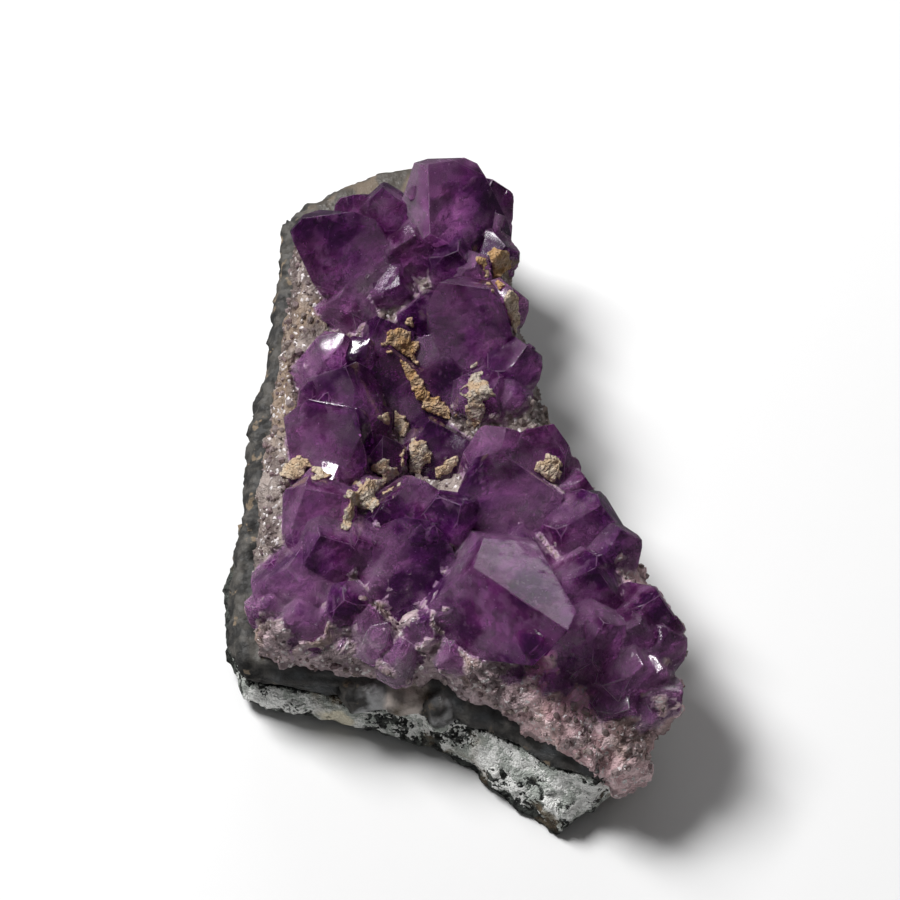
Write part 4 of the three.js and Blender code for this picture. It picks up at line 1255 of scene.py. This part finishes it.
class AMETHYST_OT_rock(Operator):
    """Make the basalt, rough where it broke and coated with white grains on its front."""

    bl_idname = "amethyst.rock"
    bl_label = "Basalt"

    def execute(self, context):
        settings = context.scene.amethyst_rock_settings
        rock = remeshed(copy_of("basalt_matrix", "basalt_rock"), settings.cell)
        mesh = rock.data
        points, normals = points_of(mesh), normals_of(mesh)
        table = on_table(points)
        standing = step_between(-0.95, -0.5, normals[:, 2])
        front = step_between(0.15, 0.6, -normals[:, 1])
        left = step_between(-8, -15, table[:, 0])
        coating = np.clip(front * (0.62 + 0.2 * left + uneven(points, COATING_LUMPS)), 0, 1)
        coating *= step_between(*COATING_FOOT, points[:, 2] + lumps(points, 4) * MM)
        relief = uneven(points, ROCK_LUMPS) + 0.3 * grains(points, 1.4) + 0.3 * coating - 0.1
        relief += 0.45 * chunks(points, 2.8)
        points = points + normals * (standing * relief * MM)[:, None]
        points[:, 2] = np.maximum(points[:, 2], 0)
        set_points(mesh, points)
        rust = step_between(0.1, 0.5, lumps(points, 7, 2, 6.0)) * 0.6
        away = np.linalg.norm((table - CREAM_PATCH[:3]) * (1, 0.3, 1), axis=1) / CREAM_PATCH[3]
        cream = step_between(1.2, 0.7, away + 0.4 * lumps(points, 2, 3))
        mark(mesh, coating=coating, rust=rust, cream=cream)
        dressed(rock, basalt_material(settings), "basalt_matrix")
        return {"FINISHED"}


# The agate's knobs: middle, radius, tint and how strong it is
KNOBS = [
    ((-12.8, -26, 9.6), 3.6, "blue", 0.7),
    ((-7, -26.4, 10.2), 3.8, "cream", 0.9),
    ((-2.2, -28, 9.6), 3.2, "blue", 1.0),
]
AGATE_LUMPS = [(0.3, 4, 2, 3.0), (0.12, 1.2, 2, 8.0)]
AGATE_PROUD = 0.35  # mm by which the agate stands out over its solid
BAND_HEIGHT = 4.5 * MM  # from one band of colour to the next


class AMETHYST_OT_agate(Operator):
    """Make the agate rind with its bands and knobs."""

    bl_idname = "amethyst.agate"
    bl_label = "Agate"

    def execute(self, context):
        settings = context.scene.amethyst_rock_settings
        agate = remeshed(copy_of("agate_rind", "agate_band"), settings.cell)
        mesh = agate.data
        points, normals = points_of(mesh), normals_of(mesh)
        table = on_table(points)
        rim = step_between(-23, -27, table[:, 0] - 0.06 * (table[:, 1] - 20))
        left = np.maximum(step_between(0.2, 0.7, -normals[:, 0] + 0.4 * lumps(points, 4, 2)), rim)
        relief = AGATE_PROUD + uneven(points, AGATE_LUMPS)
        relief += left * (0.5 * chunks(points, 2.4) + 0.25 * lumps(points, 1.5, 3))
        set_points(mesh, points + normals * (relief * MM)[:, None])
        tints = {"blue": np.zeros(len(points)), "cream": np.zeros(len(points))}
        for middle, radius, tint, amount in KNOBS:
            away = np.linalg.norm(points - np.array(in_frame(middle)), axis=1) / (radius * MM)
            near = amount * step_between(1.2, 0.85, away + 0.15 * lumps(points, 2, 2))
            tints[tint] = np.maximum(tints[tint], near)
        ledge = step_between(38, 50, table[:, 1]) * step_between(0.2, 0.7, normals[:, 2])
        band = points[:, 2] / BAND_HEIGHT + 0.15 * lumps(points, 6, 2)
        mark(mesh, ledge=ledge, band=band, left=left, **tints)
        dressed(agate, agate_material(settings), "agate_rind")
        return {"FINISHED"}


# Calcite patches, each of ovals: middle across and up the photograph, width, height and turn
CALCITE = {
    "calcite_back": [
        (5.1, 48, 3.8, 2.8, 20),
        (7, 47.8, 3.2, 3.4, 0),
        (6, 45, 3.6, 5, 0),
    ],
    "calcite_right_rim": [
        (8.3, 41.2, 3, 2.8, 0),
        (8.9, 38, 2.4, 4.4, 10),
    ],
    "calcite_vein": [
        (-8.4, 35.2, 5.2, 4, 10),
        (-7.2, 37.4, 1.6, 3.4, 0),
        (-7, 31.5, 2.3, 6.4, 12),
        (-5.4, 27.6, 2.2, 4.8, 35),
        (-2.9, 25, 2.6, 5.8, 60),
    ],
    "calcite_pocket_right": [
        (3.4, 27.4, 4, 4, 0),
        (2.9, 24.4, 2.8, 4.6, 0),
        (2.9, 30.2, 2, 3.2, 0),
    ],
    "calcite_pocket_left": [
        (-9.8, 23.3, 4, 2, 0),
        (-7.9, 21.8, 2.6, 2.4, 0),
    ],
    "calcite_pocket_front": [
        (-6, 17.6, 3.8, 5.2, -20),
    ],
    "calcite_front": [
        (-11.2, 14.4, 5.2, 4.8, 0),
        (-14, 11.6, 5, 3.4, 150),
        (-15.8, 9, 1.8, 4.4, 160),
    ],
    "calcite_left": [
        (-23.8, 15.8, 4.8, 3.2, 20),
        (-20.6, 14.9, 3, 2, 0),
    ],
    "calcite_sliver": [
        (-1.4, 15.9, 5.4, 1.8, 38),
    ],
    "calcite_right": [
        (13.8, 15.8, 4, 3.8, 0),
    ],
}
CALCITE_KINDS = {
    "calcite_back": "orange",
    "calcite_vein": "orange",
    "calcite_front": "grey",
    "calcite_pocket_front": "grey",
    "calcite_pocket_right": "grey",
}
CALCITE_CELL = 0.25  # mm, of the grid that a patch is cut from
CALCITE_MARGIN = 5  # mm of that grid round its ovals
CALCITE_JUMP = 1.6  # mm, between neighbours, where a patch is torn
CALCITE_RAGGED = 0.5  # how far noise moves a patch's border
CALCITE_SPREAD = 0.12  # how far it lies outside its ovals
CALCITE_LUMPS = [(0.12, 0.4, 2, 3.0)]
CALCITE_GRAIN = (0.2, 0.9)  # mm, depth and size
CALCITE_WANDER = (0.15, 1.2)  # mm, how far grains are moved aside, and the size of such lumps
CALCITE_SUNK = 0.05  # mm
CALCITE_THICK = (0.35, 0.45)  # mm over the crystals at its border, and how much more in its middle
CALCITE_UNDER = 0.5  # mm within the crystals
SIGHT_START = 90  # mm, height from which a line of sight is followed down


class AMETHYST_OT_calcite(Operator):
    """Lay every calcite patch on the crystals and give it its sugary grain."""

    bl_idname = "amethyst.calcite"
    bl_label = "Calcite"

    def execute(self, context):
        settings = context.scene.amethyst_calcite_settings
        materials = {
            "cream": calcite_material("Calcite", settings.pale_colour, settings.tan_colour),
            "orange": calcite_material("Orange calcite", settings.tan_colour, settings.orange_colour),
            "grey": calcite_material("Grey calcite", settings.grey_colour, settings.tan_colour),
        }
        trees = []
        for name in ("quartz_crystals", "quartz_crust"):
            mesh = bpy.data.objects[name].data
            faces = [tuple(p.vertices) for p in mesh.polygons]
            trees.append(BVHTree.FromPolygons([v.co for v in mesh.vertices], faces))
        for node, ovals in CALCITE.items():
            patch = laid_patch(node.replace("calcite", "calcite_patch"), ovals, trees)
            remeshed(patch, settings.cell)
            mesh = patch.data
            points, normals = points_of(mesh), normals_of(mesh)
            relief = CALCITE_GRAIN[0] * grains(points, CALCITE_GRAIN[1])
            relief += uneven(points, CALCITE_LUMPS) - CALCITE_SUNK
            reach, size = CALCITE_WANDER
            aside = [noise.noise_vector(Vector(p) / (size * MM)) * reach for p in points]
            set_points(mesh, points + (normals * relief[:, None] + np.array(aside)) * MM)
            dressed(patch, materials[CALCITE_KINDS.get(node, "cream")], node)
        return {"FINISHED"}


def inside_ovals(points, ovals):
    """How far inside its ovals each point of a flat patch lies, from below 0 outside to 1 in a middle."""
    shares = []
    for across, up, wide, tall, turn in ovals:
        away = points[:, :2] - (across, up)
        angle = math.radians(turn)
        along = away @ (math.cos(angle), math.sin(angle)) / (wide / 2)
        square = away @ (-math.sin(angle), math.cos(angle)) / (tall / 2)
        shares.append(1 - np.hypot(along, square))
    ragged = np.array([noise.fractal(Vector((x, y, 0.0)) / 1.1, 0.6, 2.4, 4) for x, y in points[:, :2]])
    return np.max(shares, axis=0) + CALCITE_SPREAD + CALCITE_RAGGED * ragged


def seats_of(points, trees):
    """The first thing that the line of sight meets at each point, in metres. Misses lie far below."""
    seats = []
    for across, up in points[:, :2]:
        start = in_frame(place(across, up, SIGHT_START))
        hits = [tree.ray_cast(start, -TO_CAMERA)[0] for tree in trees]
        met = [hit for hit in hits if hit]
        seats.append(max(met, key=lambda hit: hit.z) if met else Vector((0, 0, -1)))
    return np.array(seats)


def laid_patch(name, ovals, trees):
    """A ragged sheet on the crystals, cut from a grid as the photograph shows it, and made thick."""
    low = [min(oval[k] for oval in ovals) - CALCITE_MARGIN for k in (0, 1)]
    high = [max(oval[k] for oval in ovals) + CALCITE_MARGIN for k in (0, 1)]
    cells = [round((high[k] - low[k]) / CALCITE_CELL) for k in (0, 1)]
    bpy.ops.object.select_all(action="DESELECT")
    bpy.ops.mesh.primitive_grid_add(x_subdivisions=cells[0], y_subdivisions=cells[1], size=1)
    patch = bpy.context.object
    patch.name = patch.data.name = name
    mesh = patch.data
    points = points_of(mesh)
    points[:, :2] = (points[:, :2] + 0.5) * np.subtract(high, low) + low
    set_points(mesh, points)
    out = inside_ovals(points, ovals) < 0
    depths = seats_of(points, trees) @ np.array(TO_CAMERA)
    for polygon in mesh.polygons:
        corners = list(polygon.vertices)
        if np.ptp(depths[corners]) > CALCITE_JUMP * MM:
            out[corners] = True
    keep_only(patch, ~out)
    doubled(patch)
    points = points_of(mesh)
    thick = CALCITE_THICK[0] + CALCITE_THICK[1] * np.sqrt(np.clip(inside_ovals(points, ovals), 0, 1))
    away = np.where(points[:, 2] > 0.5, thick, -CALCITE_UNDER) * MM
    set_points(mesh, seats_of(points, trees) + away[:, None] * np.array(TO_CAMERA))
    return faced_outwards(patch)


def keep_only(obj, kept):
    """Deletes all other points of a mesh, and what hangs loose then."""
    with editing(obj, "DESELECT"):
        bpy.ops.mesh.select_mode(type="VERT")
    obj.data.vertices.foreach_set("select", ~kept)
    bpy.ops.object.mode_set(mode="EDIT")
    bpy.ops.mesh.delete(type="VERT")
    bpy.ops.mesh.select_all(action="SELECT")
    bpy.ops.mesh.delete_loose(use_faces=False)
    bpy.ops.object.mode_set(mode="OBJECT")
    if not obj.data.polygons:
        raise RuntimeError(f"{obj.name} has nothing left")


FLOOR_SIZE = 4  # m
FLOOR_COLOURS = ((0.86, 0.86, 0.86), (0.88, 0.88, 0.88))
KEY_AT, KEY_SIZE = Vector((-0.42, 0.3, 0.75)), (0.34, 0.34)  # m, from the object's middle
BACK_AT, BACK_SIZE = Vector((0.1, 0.9, 0.35)), (0.9, 0.5)


class AMETHYST_OT_stage(Operator):
    """Set up the pale floor, the lights and the camera."""

    bl_idname = "amethyst.stage"
    bl_label = "Stage"

    def execute(self, context):
        settings = context.scene.amethyst_stage_settings
        add_floor()
        low, high = CAD_BOX
        middle = (low + high) / 2
        add_camera(middle, settings)
        add_area("Key light", KEY_AT, middle, KEY_SIZE, settings.key_power)
        add_area("Back light", BACK_AT, middle, BACK_SIZE, settings.back_power)
        world = bpy.data.worlds.new("Studio")
        context.scene.world = world
        world.use_nodes = True
        background = world.node_tree.nodes["Background"].inputs
        background["Color"].default_value = (1.0, 1.0, 1.0, 1.0)
        background["Strength"].default_value = settings.surround
        context.scene.view_settings.view_transform = "Standard"
        cycles = context.scene.cycles
        cycles.use_denoising = True
        cycles.sample_clamp_indirect = 6.0
        cycles.max_bounces = 14
        cycles.transmission_bounces = 12
        return {"FINISHED"}


def add_floor():
    """A pale floor, with a material that is almost even."""
    bpy.ops.object.select_all(action="DESELECT")
    bpy.ops.mesh.primitive_plane_add(size=FLOOR_SIZE)
    floor = bpy.context.object
    floor.name = "floor"
    material, shader = new_material("Pale floor")
    colour = shader.mix(shader.patches(3, 0.3, 0.7), *FLOOR_COLOURS)
    surfaced(shader, colour, 0.9, shader.grain(40), 0.05 * MM)
    floor.data.materials.append(material)
    floor.visible_glossy = False  # so that the steep faces stay deep in colour


def add_camera(middle, settings):
    """A camera at the photograph's angle, with the whole object in its picture."""
    data = bpy.data.cameras.new("Camera")
    data.lens = settings.lens
    camera = bpy.data.objects.new("Camera", data)
    bpy.context.scene.collection.objects.link(camera)
    low, high = CAD_BOX
    deep, tall = high.y - low.y, high.z - low.z
    seen = deep * math.sin(VIEW_ELEVATION) + tall * math.cos(VIEW_ELEVATION)
    distance = seen / settings.filling * data.lens / data.sensor_width
    camera.location = middle + TO_CAMERA * distance
    camera.rotation_euler = (-TO_CAMERA).to_track_quat("-Z", "Y").to_euler()
    bpy.context.scene.camera = camera


def add_area(name, away, target, size, power):
    """A soft rectangular light that looks at a point from this far away."""
    data = bpy.data.lights.new(name, "AREA")
    data.shape = "RECTANGLE"
    data.size, data.size_y = size
    data.energy = power
    light = bpy.data.objects.new(name, data)
    bpy.context.scene.collection.objects.link(light)
    light.location = target + away
    light.rotation_euler = (-away).to_track_quat("-Z", "Y").to_euler()


STEPS = [
    AMETHYST_OT_rock,
    AMETHYST_OT_agate,
    AMETHYST_OT_crust,
    AMETHYST_OT_crystals,
    AMETHYST_OT_druse,
    AMETHYST_OT_calcite,
    AMETHYST_OT_stage,
]
SETTINGS = {
    "amethyst_crystal_settings": CrystalSettings,
    "amethyst_crust_settings": CrustSettings,
    "amethyst_rock_settings": RockSettings,
    "amethyst_calcite_settings": CalciteSettings,
    "amethyst_stage_settings": StageSettings,
}


class AMETHYST_PT_panel(Panel):
    """Lists the steps that make the cluster, and their settings."""

    bl_idname = "AMETHYST_PT_panel"
    bl_label = "Amethyst Cluster"
    bl_space_type = "VIEW_3D"
    bl_region_type = "UI"
    bl_category = "Amethyst"

    def draw(self, context):
        for step in STEPS:
            self.layout.operator(step.bl_idname)
        for name in SETTINGS:
            group = getattr(context.scene, name)
            box = self.layout.box()
            for setting in group.bl_rna.properties:
                if not setting.is_readonly and setting.identifier != "name":
                    box.prop(group, setting.identifier)


def register():
    for group in SETTINGS.values():
        bpy.utils.register_class(group)
    for name, group in SETTINGS.items():
        setattr(bpy.types.Scene, name, PointerProperty(type=group))
    for step in STEPS:
        bpy.utils.register_class(step)
    bpy.utils.register_class(AMETHYST_PT_panel)


def unregister():
    bpy.utils.unregister_class(AMETHYST_PT_panel)
    for step in reversed(STEPS):
        bpy.utils.unregister_class(step)
    for name in SETTINGS:
        delattr(bpy.types.Scene, name)
    for group in reversed(list(SETTINGS.values())):
        bpy.utils.unregister_class(group)


def main():
    register()
    bpy.ops.amethyst.rock()
    bpy.ops.amethyst.agate()
    bpy.ops.amethyst.crust()
    bpy.ops.amethyst.crystals()
    bpy.ops.amethyst.druse()
    bpy.ops.amethyst.calcite()
    bpy.ops.amethyst.stage()


if __name__ == "__main__":
    main()
